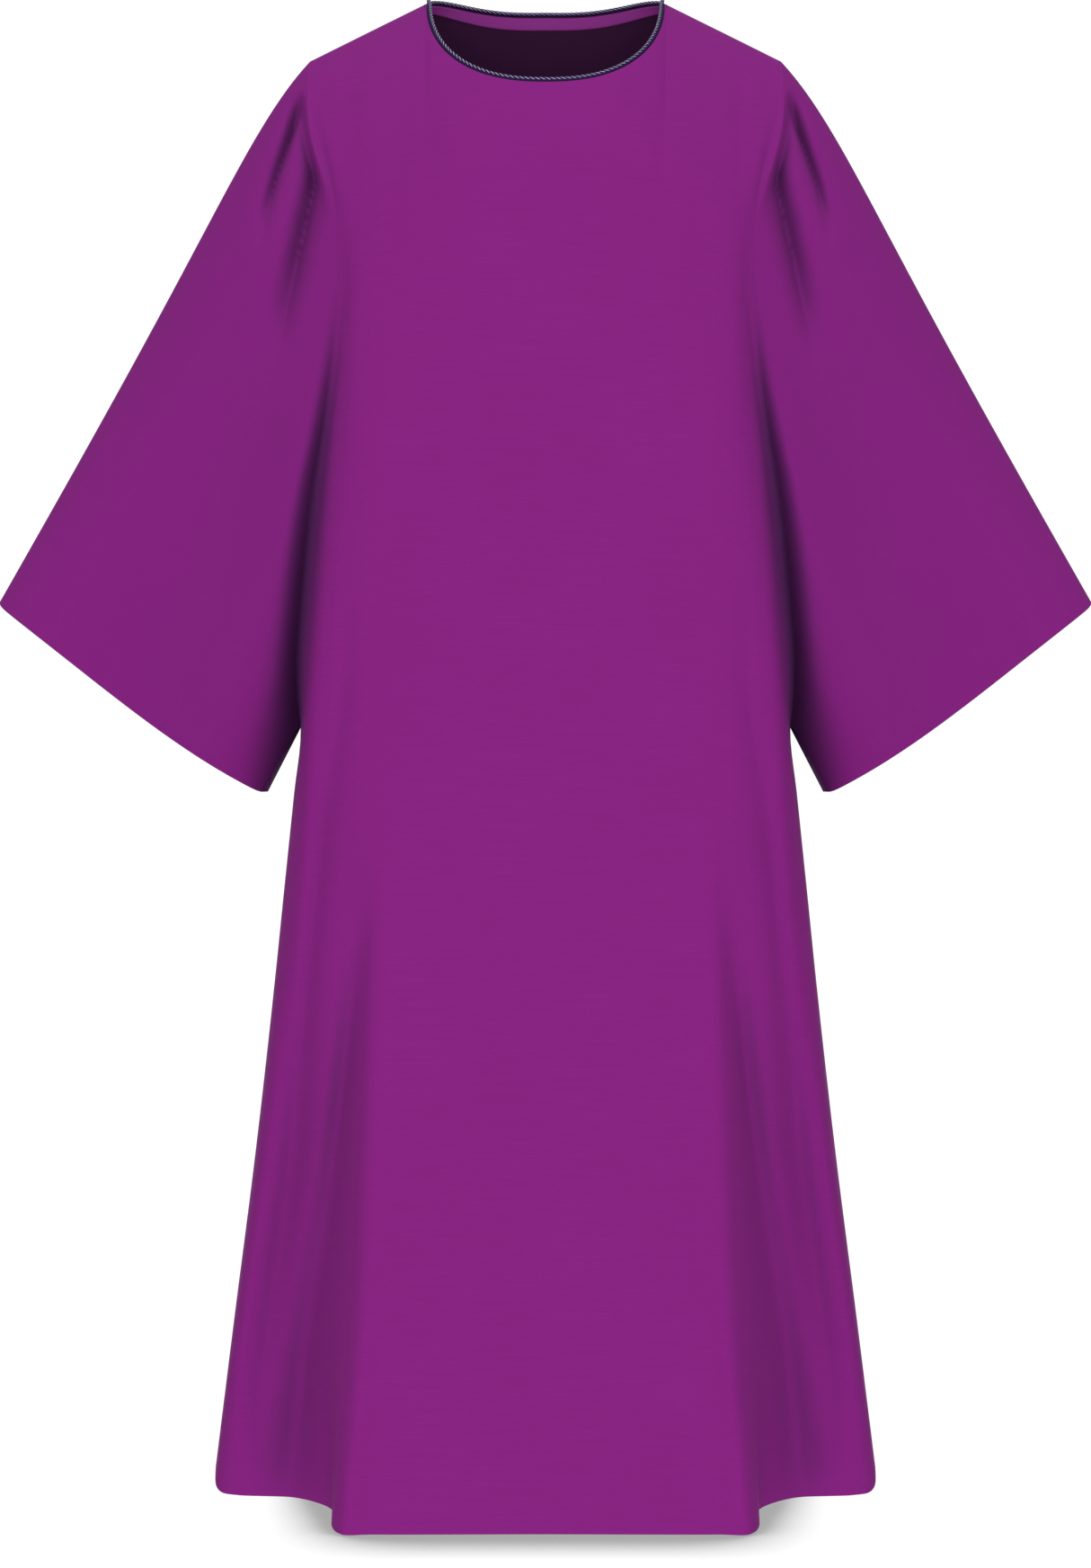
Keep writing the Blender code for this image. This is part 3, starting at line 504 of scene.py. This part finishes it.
body_cloth = woven_cloth("purple_cloth_body", CLOTH_PURPLE, streaks=0.16, grain=0.34,
                         slub_scale=SLUBS, painted_shade=BODY_PAINTED_SHADE)
# The inner skins take the wrong side's colour with shade painted into it.
wrong_side_shade_cloth = woven_cloth("purple_cloth_wrong_side_shade", WRONG_SIDE_SHADE_PURPLE, streaks=0.12,
                               grain=0.14, slub_scale=SLUBS)
front_grid = panel_grid(FRONT_GUIDES, FRONT_FOLDS, side=-1)
front = cloth_shell("front_panel", front_grid, closed=False, outward=1,
                    thickness=turned_wall(front_grid), turned_in=(True, True, False),
                    cloths=(body_cloth, wrong_side_shade_cloth))
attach(front, "root")
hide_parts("front")

# Back panel
# One piece of the same cloth, seamed to the front over the shoulders and down the sides. It
# hangs with softer folds than the front, and its neckline lies higher.
BACK_GUIDES = {
    "centre": (0.00, ((-1.3507, 0.0, 0.158), (-0.90, 0.0, 0.142), (-0.60, 0.0, 0.130),
                      (-0.35, 0.0, 0.130), (-0.20, 0.0, 0.122), (-0.08, 0.0, 0.104))),
    "panel": (0.30, ((-1.3507, 0.128, 0.164), (-0.90, 0.112, 0.144), (-0.60, 0.104, 0.131),
                     (-0.35, 0.098, 0.129), (-0.20, 0.094, 0.118), (-0.08, 0.090, 0.098))),
    "edge": (0.42, ((-1.3507, 0.164, 0.162), (-1.20, 0.157, 0.157), (-1.05, 0.150, 0.148),
                    (-0.90, 0.144, 0.139), (-0.75, 0.138, 0.131), (-0.60, 0.133, 0.126),
                    (-0.35, 0.127, 0.124), (-0.20, 0.118, 0.113), (-0.08, 0.114, 0.094))),
    "wall": (0.50, ((-1.3507, 0.182, 0.142), (-1.20, 0.172, 0.141), (-1.05, 0.163, 0.137),
                    (-0.90, 0.157, 0.132), (-0.75, 0.151, 0.126), (-0.60, 0.147, 0.121),
                    (-0.35, 0.142, 0.118), (-0.20, 0.133, 0.108), (-0.08, 0.128, 0.090))),
    "dip": (0.58, ((-1.3507, 0.196, 0.108), (-1.20, 0.186, 0.116), (-1.05, 0.177, 0.121),
                   (-0.90, 0.170, 0.121), (-0.75, 0.164, 0.118), (-0.60, 0.160, 0.114),
                   (-0.35, 0.156, 0.111), (-0.20, 0.148, 0.102), (-0.08, 0.144, 0.086))),
    "swell": (0.66, ((-1.3507, 0.218, 0.084), (-1.20, 0.207, 0.098), (-1.05, 0.196, 0.109),
                     (-0.90, 0.187, 0.116), (-0.75, 0.180, 0.117), (-0.60, 0.174, 0.114),
                     (-0.35, 0.166, 0.112), (-0.20, 0.160, 0.101), (-0.08, 0.160, 0.080))),
    "hollow": (0.75, ((-1.3507, 0.248, 0.071), (-1.20, 0.233, 0.083), (-1.05, 0.217, 0.092),
                      (-0.90, 0.2035, 0.103), (-0.75, 0.195, 0.107), (-0.60, 0.188, 0.107),
                      (-0.51, 0.184, 0.107), (-0.43, 0.178, 0.107), (-0.35, 0.173, 0.105),
                      (-0.27, 0.170, 0.101), (-0.20, 0.170, 0.095), (-0.08, 0.175, 0.072))),
    "ridge": (0.84, ((-1.3507, 0.279, 0.063), (-1.20, 0.261, 0.070), (-1.05, 0.241, 0.076),
                     (-0.90, 0.2245, 0.089), (-0.75, 0.213, 0.093), (-0.66, 0.208, 0.094),
                     (-0.60, 0.203, 0.095), (-0.51, 0.1955, 0.096), (-0.43, 0.188, 0.096),
                     (-0.35, 0.181, 0.095), (-0.27, 0.1765, 0.092), (-0.20, 0.178, 0.087),
                     (-0.08, 0.189, 0.062))),
    "turn": (0.93, ((-1.3507, 0.299, 0.043), (-1.20, 0.280, 0.044), (-1.05, 0.259, 0.047),
                    (-0.90, 0.2415, 0.055), (-0.75, 0.2265, 0.058), (-0.66, 0.2185, 0.059),
                    (-0.60, 0.2150, 0.068), (-0.51, 0.2065, 0.075), (-0.43, 0.196, 0.080),
                    (-0.35, 0.186, 0.084), (-0.27, 0.181, 0.083), (-0.20, 0.184, 0.079),
                    (-0.14, 0.195, 0.066), (-0.08, 0.2025, 0.054))),
    "seam": (1.00, ((-1.3507, 0.304, 0.012), (-1.20, 0.285, 0.010), (-1.05, 0.2655, 0.006),
                    (-0.90, 0.2483, 0.003), (-0.80, 0.2378, 0.0), (-0.72, 0.2295, 0.0),
                    (-0.66, 0.2234, 0.0), (-0.64, 0.2252, 0.009), (-0.60, 0.2265, 0.025),
                    (-0.555, 0.2222, 0.038), (-0.51, 0.2165, 0.047), (-0.47, 0.2105, 0.054),
                    (-0.43, 0.2035, 0.061), (-0.39, 0.196, 0.067), (-0.35, 0.190, 0.072),
                    (-0.31, 0.186, 0.076), (-0.27, 0.184, 0.076), (-0.23, 0.1845, 0.073),
                    (-0.19, 0.188, 0.068), (-0.15, 0.197, 0.061), (-0.11, 0.2085, 0.055),
                    (-0.055, 0.2145, 0.051))),
}
BACK_FOLDS = {
    "beside the panel": (
        (0.170, -0.70, 0.012, 0.012, 0.0), (0.176, -0.859, 0.013, 0.013, 0.004),
        (0.184, -0.953, 0.014, 0.015, 0.006), (0.194, -1.048, 0.016, 0.017, 0.008),
        (0.206, -1.142, 0.018, 0.019, 0.009), (0.220, -1.237, 0.019, 0.020, 0.009),
        (0.234, -1.351, 0.020, 0.021, 0.007)),
    "down the side": (
        (0.180, -0.600, 0.012, 0.012, 0.0), (0.188, -0.700, 0.012, 0.012, 0.003),
        (0.205, -0.861, 0.014, 0.014, 0.005), (0.2281, -1.055, 0.018, 0.017, 0.007),
        (0.2561, -1.252, 0.019, 0.018, 0.004), (0.262, -1.33, 0.019, 0.018, 0.0)),
}

back_grid = panel_grid(BACK_GUIDES, BACK_FOLDS, side=1)
back = cloth_shell("back_panel", back_grid, closed=False, outward=-1,
                   thickness=turned_wall(back_grid), turned_in=(True, True, False),
                   cloths=(body_cloth, wrong_side_shade_cloth))
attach(back, "root")
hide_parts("back")

# Sleeves
# Two wide straight tubes of the same cloth, each cut in one and seamed to the body from the
# shoulder down to the underarm. The fullness at the cap hangs in two creases, and the sleeve
# rolls forward out of its seam, which leaves a deep shadow between it and the body.
SLEEVE_OUT = 0.486  # how far out a sleeve leads for SLEEVE_DOWN down
SLEEVE_DOWN = 0.874
SLEEVE_AXIS = np.array((SLEEVE_OUT, 0.0, -SLEEVE_DOWN)) / math.hypot(SLEEVE_OUT, SLEEVE_DOWN)
SLEEVE_ACROSS = np.array((SLEEVE_DOWN, 0.0, SLEEVE_OUT)) / math.hypot(SLEEVE_OUT, SLEEVE_DOWN)
CUFF_TIP = np.array((0.498, 0.0, -0.547))  # where the overarm fold meets the cuff
CUFF_WIDTH = 0.297  # from there to the underarm fold
CUFF_SLANT = 0.033  # how much further along the sleeve the cuff ends at the underarm
CUFF_BOW = 0.007  # how far its edge bows out in between
CUFF_DEPTH = 0.052  # half its depth from front to back
CUFF_TAPER = 0.15  # share of that which it loses towards the underarm
CUFF_ROUNDING = 4.5  # at 2 its section would be an ellipse, and more is flatter
CUFF_CORNER = 0.0025  # how far its two corners are drawn in
CORNER_POWER = 60  # the higher, the smaller those corners
CROWN_LIFT = 0.0084  # how far the overarm arches over a straight line, at its most
CROWN_AT = 0.095  # which is this far from the armhole
CROWN_REACH = 0.12  # width below the overarm fold in which that fades out
SLEEVE_SWELL = 0.034  # how far a sleeve bellies out between its two folds near the body
SWELL_FROM = 0.40  # share of its width below the overarm at which that begins
SWELL_FULL = 0.75
SWELL_POWER = 6  # the higher, the flatter the belly
SLEEVE_ROLL = 0.023  # length from the armhole in which it swells
ROLL_POWER = 1.3
STATIONS = 150  # rings from the armhole to the cuff, closer together near the armhole
STATION_CROWDING = 1.5
SLEEVE_PURPLE = (0.222, 0.0134, 0.203)  # the same cloth cut crosswise, which looks a little darker
SLEEVE_SLUBS = (180.0, 40.0)
# painted shade in the sleeve's folds: how fast it takes over, and how near cloth must be
SLEEVE_PAINTED_SHADE = 0.9
SLEEVE_PAINTED_SHADE_REACH = 0.05

# The cap's two creases, through rows of (out, height, reach inward, reach outward, depth).
CAP_FOLDS = {
    "outer": ((0.220, -0.085, 0.0045, 0.006, 0.0), (0.2238, -0.102, 0.0045, 0.006, 0.011),
              (0.228, -0.121, 0.0045, 0.006, 0.017), (0.233, -0.139, 0.0045, 0.006, 0.018),
              (0.2378, -0.155, 0.0045, 0.006, 0.017), (0.2426, -0.171, 0.0045, 0.006, 0.015),
              (0.2465, -0.187, 0.0045, 0.006, 0.012), (0.251, -0.208, 0.0045, 0.006, 0.005),
              (0.256, -0.232, 0.0045, 0.006, 0.0)),
    "inner": ((0.2185, -0.088, 0.004, 0.007, 0.0), (0.2155, -0.107, 0.0045, 0.008, 0.010),
              (0.2120, -0.125, 0.005, 0.009, 0.017), (0.2080, -0.143, 0.006, 0.009, 0.021),
              (0.2060, -0.159, 0.007, 0.009, 0.023), (0.2068, -0.175, 0.008, 0.009, 0.024),
              (0.2095, -0.191, 0.009, 0.010, 0.024), (0.2135, -0.207, 0.010, 0.010, 0.024),
              (0.2165, -0.223, 0.010, 0.010, 0.023), (0.2205, -0.239, 0.010, 0.010, 0.022),
              (0.2235, -0.255, 0.010, 0.011, 0.020), (0.2280, -0.277, 0.010, 0.012, 0.016),
              (0.2325, -0.302, 0.010, 0.013, 0.009), (0.237, -0.325, 0.010, 0.013, 0.003),
              (0.241, -0.345, 0.010, 0.013, 0.0)),
}
CAP_FOLD_SOFTNESS = 1.45
CAP_FOLD_START = 0.011  # the creases begin over this length from the armhole seam
CAP_FOLD_BEHIND = 0.8  # their depth on the back, as a share of the front's


def cuff_points(width, side):
    """Points of the cuff's edge at distances below the overarm fold."""
    share = np.clip(width / CUFF_WIDTH, 0.0, 1.0)
    from_middle = np.abs(2 * share - 1)
    depth = CUFF_DEPTH * (1 - from_middle ** CUFF_ROUNDING) ** 0.5 * (1 - CUFF_TAPER * share)
    belly = 27 / 4 * share ** 2 * (1 - share)  # 1 at its most, at two thirds
    along = CUFF_SLANT * share + CUFF_BOW * belly - CUFF_CORNER * from_middle ** CORNER_POWER
    points = CUFF_TIP - SLEEVE_ACROSS * width[:, None] + SLEEVE_AXIS * along[:, None]
    points[:, 1] += side * depth
    return points


def sleeve_grid():
    """Outer points of the left sleeve: a row for each ring from the armhole to the cuff, which
    runs down the front from the overarm and up the back."""
    first = len(front_grid) - 1 - ROWS_ABOVE
    edges = ((front_grid[first:, -1][::-1], -1), (back_grid[first:, -1][1:-1], 1))
    start = np.concatenate([points for points, _ in edges])
    side = np.concatenate([np.full(len(points), sign) for points, sign in edges])
    full = (start[0] - start[ROWS_ABOVE]) @ SLEEVE_ACROSS
    width = (start[0] - start) @ SLEEVE_ACROSS * CUFF_WIDTH / full
    end = cuff_points(width, side)
    share = (np.linspace(0, 1, STATIONS + 1) ** STATION_CROWDING)[:, None]
    away = np.linalg.norm(end - start, axis=1) * share
    grid = start + (end - start) * share[..., None]
    crown = CROWN_LIFT * away / CROWN_AT * np.exp(1 - away / CROWN_AT)
    crown = crown * (1 - ease(width / CROWN_REACH))
    grid += SLEEVE_ACROSS * crown[..., None]
    low = np.clip(width / CUFF_WIDTH, 0, 1)
    bulge = ease((low - SWELL_FROM) / (SWELL_FULL - SWELL_FROM))
    bulge = bulge * (1 - np.abs(2 * low - 1) ** SWELL_POWER)
    roll = 1 - np.exp(-(away / SLEEVE_ROLL) ** ROLL_POWER)
    grid[..., 1] += side * SLEEVE_SWELL * bulge * roll * (1 - share)
    sunk = fold_depth(CAP_FOLDS, CAP_FOLD_SOFTNESS, grid[..., 0], grid[..., 2])
    sunk = sunk * ease(away / CAP_FOLD_START) * np.where(side > 0, CAP_FOLD_BEHIND, 1.0)
    grid[..., 1] -= side * sunk
    return grid


sleeve_cloth = woven_cloth("purple_cloth_sleeve", SLEEVE_PURPLE, streaks=0.05, grain=0.42,
                           slub_scale=SLEEVE_SLUBS, painted_shade=SLEEVE_PAINTED_SHADE,
                           painted_shade_reach=SLEEVE_PAINTED_SHADE_REACH)
left_grid = sleeve_grid()
right_grid = left_grid * np.array((-1.0, 1.0, 1.0))
for name, node, grid, outward in (("left_sleeve", "sleeve_left", left_grid, 1),
                                  ("right_sleeve", "sleeve_right", right_grid, -1)):
    sleeve = cloth_shell(name, grid, closed=True, outward=outward,
                         thickness=turned_wall(grid[::-1])[::-1], turned_in=(False, True, False),
                         cloths=(sleeve_cloth, wrong_side_shade_cloth))
    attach(sleeve, "root")
    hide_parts(node)

# Neck facing
# A narrow band of the same cloth that backs the edge inside the back of the neck. It is caught in
# the neck seam with the cord, turned in, and lies against the back panel.
FACING_DEPTH = 0.0115
FACING_WALL = 0.001
FACING_GAP = 0.0003  # between it and the back panel
FACING_ROWS = 8
# the same cloth painted about twice as light as the body's, as painted light on the band inside the
# neck
FACING_PAINTED_LIGHT_PURPLE = (0.455, 0.057, 0.433)

middle_column = back_grid.shape[1] // 2
at_neck = slice(middle_column - NECK_CELLS, middle_column + NECK_CELLS + 1)
neck_columns = back_grid[:, at_neck]
neck_normals = grid_normals(back_grid, False, -1)[:, at_neck]
steps_down = np.linalg.norm(np.diff(neck_columns[::-1], axis=0), axis=-1)
down = np.concatenate((np.zeros((1, neck_columns.shape[1])), np.cumsum(steps_down, axis=0)))
under = neck_columns - neck_normals * (WALL + FACING_GAP)
facing_downs = np.linspace(FACING_DEPTH, 0, FACING_ROWS + 1)
facing_grid = np.empty((FACING_ROWS + 1, neck_columns.shape[1], 3))
for column in range(neck_columns.shape[1]):
    for axis in range(3):
        facing_grid[:, column, axis] = np.interp(facing_downs, down[:, column],
                                                 under[::-1, column, axis])
# Painted light: the facing band is given a lit copy of the cloth's colour.
facing_cloth = woven_cloth("facing_cloth", FACING_PAINTED_LIGHT_PURPLE, streaks=0.08, grain=0.12,
                           slub_scale=SLUBS)
facing = cloth_shell("neck_facing_band", facing_grid, closed=False, outward=-1,
                     thickness=np.full(facing_grid.shape[:2], FACING_WALL),
                     turned_in=(True, False, False), cloths=(facing_cloth, facing_cloth))
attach(facing, "root")
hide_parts("neck_facing")

# Neck cord
# A lipped cord sewn all round the neck edge: six strands, navy and pale lilac by turns, laid up
# in a right-hand twist, with a plain navy lip next to the cloth.
CORD_DIAMETER = 0.005  # over the lip and the twist
CORD_GAP = 0.0005  # between the cord and the cloth's edge
STRANDS = 6
STRAND_RADII = (0.00074, 0.00048)  # navy and lilac
TWIST_RADIUS = 0.00085  # from the twist's middle to a strand's
TWIST_IN = 0.00075  # the twist lies this far past the cord's middle, towards the neck
LAY_LENGTH = 0.0141  # one turn of a strand
STEPS_A_TURN = 14
STRAND_SIDES = 6
OVERLAP = 6  # steps of the neck edge by which its closed line runs on past both its ends
LIP_RADIUS = 0.0012
LIP_BACK = 0.0013  # the lip's middle lies this far back towards the cloth
NAVY = (0.010, 0.007, 0.040)
LILAC = (0.52, 0.41, 0.70)
YARN_FIBRES = 2400.0  # fibres a metre
YARN_TONE = 0.5  # how far they change its tone
FIBRE_RELIEF = 0.0001


def neck_line():
    """Closed line round the middle of the cloth's neck edge, with its directions out and inward."""
    points = []
    outs = []
    for grid, outward, order in ((front_grid, 1, 1), (back_grid, -1, -1)):
        edge = grid[-1, at_neck][::order]
        out = grid_normals(grid, False, outward)[-1, at_neck][::order]
        keep = slice(None) if order > 0 else slice(1, -1)
        points.append(edge[keep])
        outs.append(out[keep])
    points = np.concatenate(points)
    outs = np.concatenate(outs)
    along = np.roll(points, -1, axis=0) - np.roll(points, 1, axis=0)
    inward = np.cross(outs, along)
    inward /= np.linalg.norm(inward, axis=1, keepdims=True)
    return points - outs * WALL / 2, outs, inward


def closed_smooth(values, lengths, at):
    """Values of a closed line at lengths along it, smoothed over its corners."""
    total = lengths[-1]
    before = lengths[-1 - OVERLAP:-1] - total
    knots = np.concatenate((before, lengths, lengths[1:OVERLAP + 1] + total))
    ring = np.concatenate((values[-OVERLAP:], values, values[:OVERLAP + 1]))
    return np.stack([smooth(knots, ring[:, k], at) for k in range(ring.shape[1])], axis=-1)


def tube(centres, side_one, side_two, radius):
    """Rings of points round a closed line of centres."""
    turn = np.arange(STRAND_SIDES) * 2 * math.pi / STRAND_SIDES
    return (centres[:, None] + radius * (np.cos(turn)[:, None] * side_one[:, None]
                                         + np.sin(turn)[:, None] * side_two[:, None]))


edge_line, edge_out, edge_inward = neck_line()
steps = np.linalg.norm(np.diff(np.concatenate((edge_line, edge_line[:1])), axis=0), axis=1)
edge_lengths = np.concatenate(([0.0], np.cumsum(steps)))
count = round(edge_lengths[-1] / LAY_LENGTH) * STEPS_A_TURN
at = np.arange(count) * edge_lengths[-1] / count
out = closed_smooth(edge_out, edge_lengths, at)
inward = closed_smooth(edge_inward, edge_lengths, at)
centre = closed_smooth(edge_line, edge_lengths, at) + inward * (CORD_DIAMETER / 2 + CORD_GAP)

# The lip and the strands: each has its line, two directions across it, its radius and its yarn.
strands = [(centre - inward * LIP_BACK, out, inward, LIP_RADIUS, 0)]
for strand in range(STRANDS):
    turn = 2 * math.pi * (strand / STRANDS + np.arange(count) / STEPS_A_TURN)[:, None]
    away = np.cos(turn) * inward + np.sin(turn) * out
    line = centre + inward * TWIST_IN + away * TWIST_RADIUS
    along = np.roll(line, -1, axis=0) - np.roll(line, 1, axis=0)
    beside = np.cross(along, away)
    beside /= np.linalg.norm(beside, axis=1, keepdims=True)
    strands.append((line, away, beside, STRAND_RADII[strand % 2], strand % 2))
cord_points = []
cord_faces = []
cord_yarns = []
for line, one, two, radius, yarn in strands:
    start = len(cord_points) * count * STRAND_SIDES
    number = start + np.arange(count * STRAND_SIDES).reshape(count, STRAND_SIDES)
    after = np.roll(number, -1, axis=0)
    quads = (number, np.roll(number, -1, axis=1), np.roll(after, -1, axis=1), after)
    quads = np.stack(quads, axis=-1).reshape(-1, 4)
    cord_points.append(tube(line, one, two, radius).reshape(-1, 3))
    cord_faces.append(quads)
    cord_yarns.append(np.full(len(quads), yarn))
cord_mesh = bpy.data.meshes.new("neck_cord_twist")
cord_mesh.from_pydata(np.concatenate(cord_points).tolist(), [], np.concatenate(cord_faces).tolist())
cord_mesh.shade_smooth()


def cord_yarn(name, colour, roughness):
    """Cord yarn with fine, faintly uneven fibres."""
    material, tree, shader = new_material(name)
    fibres = tree.nodes.new("ShaderNodeTexNoise")
    fibres.inputs["Scale"].default_value = YARN_FIBRES
    fibres.inputs["Detail"].default_value = 2.0
    tree.links.new(tree.nodes.new("ShaderNodeTexCoord").outputs["Object"], fibres.inputs["Vector"])
    uneven = tone(tree, fibres.outputs["Fac"], YARN_TONE)
    tree.links.new(toned_colour(tree, colour, uneven), shader.inputs["Base Color"])
    shader.inputs["Roughness"].default_value = roughness
    shader.inputs["Specular IOR Level"].default_value = FIBRE_SPECULAR
    add_relief(tree, shader, fibres.outputs["Fac"], strength=0.4, distance=FIBRE_RELIEF)
    return material


cord_mesh.materials.append(cord_yarn("navy_yarn", NAVY, roughness=0.6))
cord_mesh.materials.append(cord_yarn("lilac_yarn", LILAC, roughness=0.5))
cord_mesh.polygons.foreach_set("material_index", np.concatenate(cord_yarns).astype(np.int32))
cord = bpy.data.objects.new("neck_cord_twist", cord_mesh)
bpy.context.scene.collection.objects.link(cord)
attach(cord, "root")
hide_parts("neck_cord")

# Floor and light
# A plain white floor just under the hem, glowing evenly, with a short soft shadow painted into
# its glow, and soft light from the front and the back, with an even white surround.
FLOOR_GAP = 0.0015  # between the hem and the floor
FLOOR_SIZE = 40.0
WHITE = 1.05  # glow of the floor and the surround, a little past white
SHADOW_REACH = 0.10  # cloth nearer than this shades the floor
SHADOW_SAMPLES = 16
SHADOW_FULL = 0.165  # out to here the shadow is whole
SHADOW_END = 0.265  # and here, towards the garment's sides, it has faded out
SHADOW_DEPTH = 1.75  # how fast it darkens where the cloth is near
SHADOW_MOST = 0.62  # the most of the floor's white that it takes
SURROUND_LIGHT = 0.47
KEY_ANGLE = math.radians(100)  # how broad the front light is
BACK_ANGLE = math.radians(35)  # and the two others
KEY_RISE = math.radians(-16)  # below level, so that it doesn't shine in at the neck
KEY_STRENGTH = 1.77
TOP_STRENGTH = 1.2

bpy.ops.mesh.primitive_plane_add(size=FLOOR_SIZE, location=(0.0, 0.0, HEM - FLOOR_GAP))
floor = bpy.context.object
floor.name = "floor"
floor_paint, tree, shader = new_material("white_floor")
tree.nodes.remove(shader)
# Painted shadow: the floor's glow is darkened where cloth is near, and less so towards the
# garment's sides.
shadow = tree.nodes.new("ShaderNodeAmbientOcclusion")
shadow.samples = SHADOW_SAMPLES
shadow.inputs["Distance"].default_value = SHADOW_REACH
place = tree.nodes.new("ShaderNodeSeparateXYZ")
tree.links.new(tree.nodes.new("ShaderNodeTexCoord").outputs["Object"], place.inputs[0])
fade = tree.nodes.new("ShaderNodeMapRange")
fade.interpolation_type = "SMOOTHSTEP"
for name, value in (("From Min", SHADOW_END), ("From Max", SHADOW_FULL), ("To Max", SHADOW_DEPTH)):
    fade.inputs[name].default_value = value
tree.links.new(math_node(tree, "ABSOLUTE", place.outputs["X"]), fade.inputs["Value"])
covered = math_node(tree, "SUBTRACT", 1.0, shadow.outputs["AO"])
taken = math_node(tree, "MULTIPLY", covered, fade.outputs["Result"])
taken = math_node(tree, "MINIMUM", taken, SHADOW_MOST)
glow = tree.nodes.new("ShaderNodeEmission")
tree.links.new(math_node(tree, "SUBTRACT", 1.0, taken), glow.inputs["Color"])
glow.inputs["Strength"].default_value = WHITE
tree.links.new(glow.outputs[0], tree.nodes["Material Output"].inputs["Surface"])
floor.data.materials.append(floor_paint)
floor.visible_diffuse = False
floor.visible_glossy = False
floor.visible_shadow = False

world = bpy.data.worlds.new("surround")
world.use_nodes = True
bpy.context.scene.world = world
tree = world.node_tree
background = tree.nodes["Background"]
background.inputs["Color"].default_value = (1.0, 1.0, 1.0, 1.0)
seen = tree.nodes.new("ShaderNodeLightPath").outputs["Is Camera Ray"]
strength = math_node(tree, "MULTIPLY_ADD", seen, WHITE - SURROUND_LIGHT, SURROUND_LIGHT)
tree.links.new(strength, background.inputs["Strength"])
for name, strength, angle, rise, heading in (
        ("front_light", KEY_STRENGTH, KEY_ANGLE, KEY_RISE, 0.0),
        ("back_light", KEY_STRENGTH, BACK_ANGLE, KEY_RISE, math.pi),
        ("top_light", TOP_STRENGTH, BACK_ANGLE, math.pi / 2, 0.0)):
    light = bpy.data.lights.new(name, "SUN")
    light.angle = angle
    light.energy = strength
    lamp = bpy.data.objects.new(name, light)
    lamp.rotation_euler = (math.pi / 2 - rise, 0.0, heading)
    bpy.context.scene.collection.objects.link(lamp)
bpy.context.scene.view_settings.view_transform = "Standard"
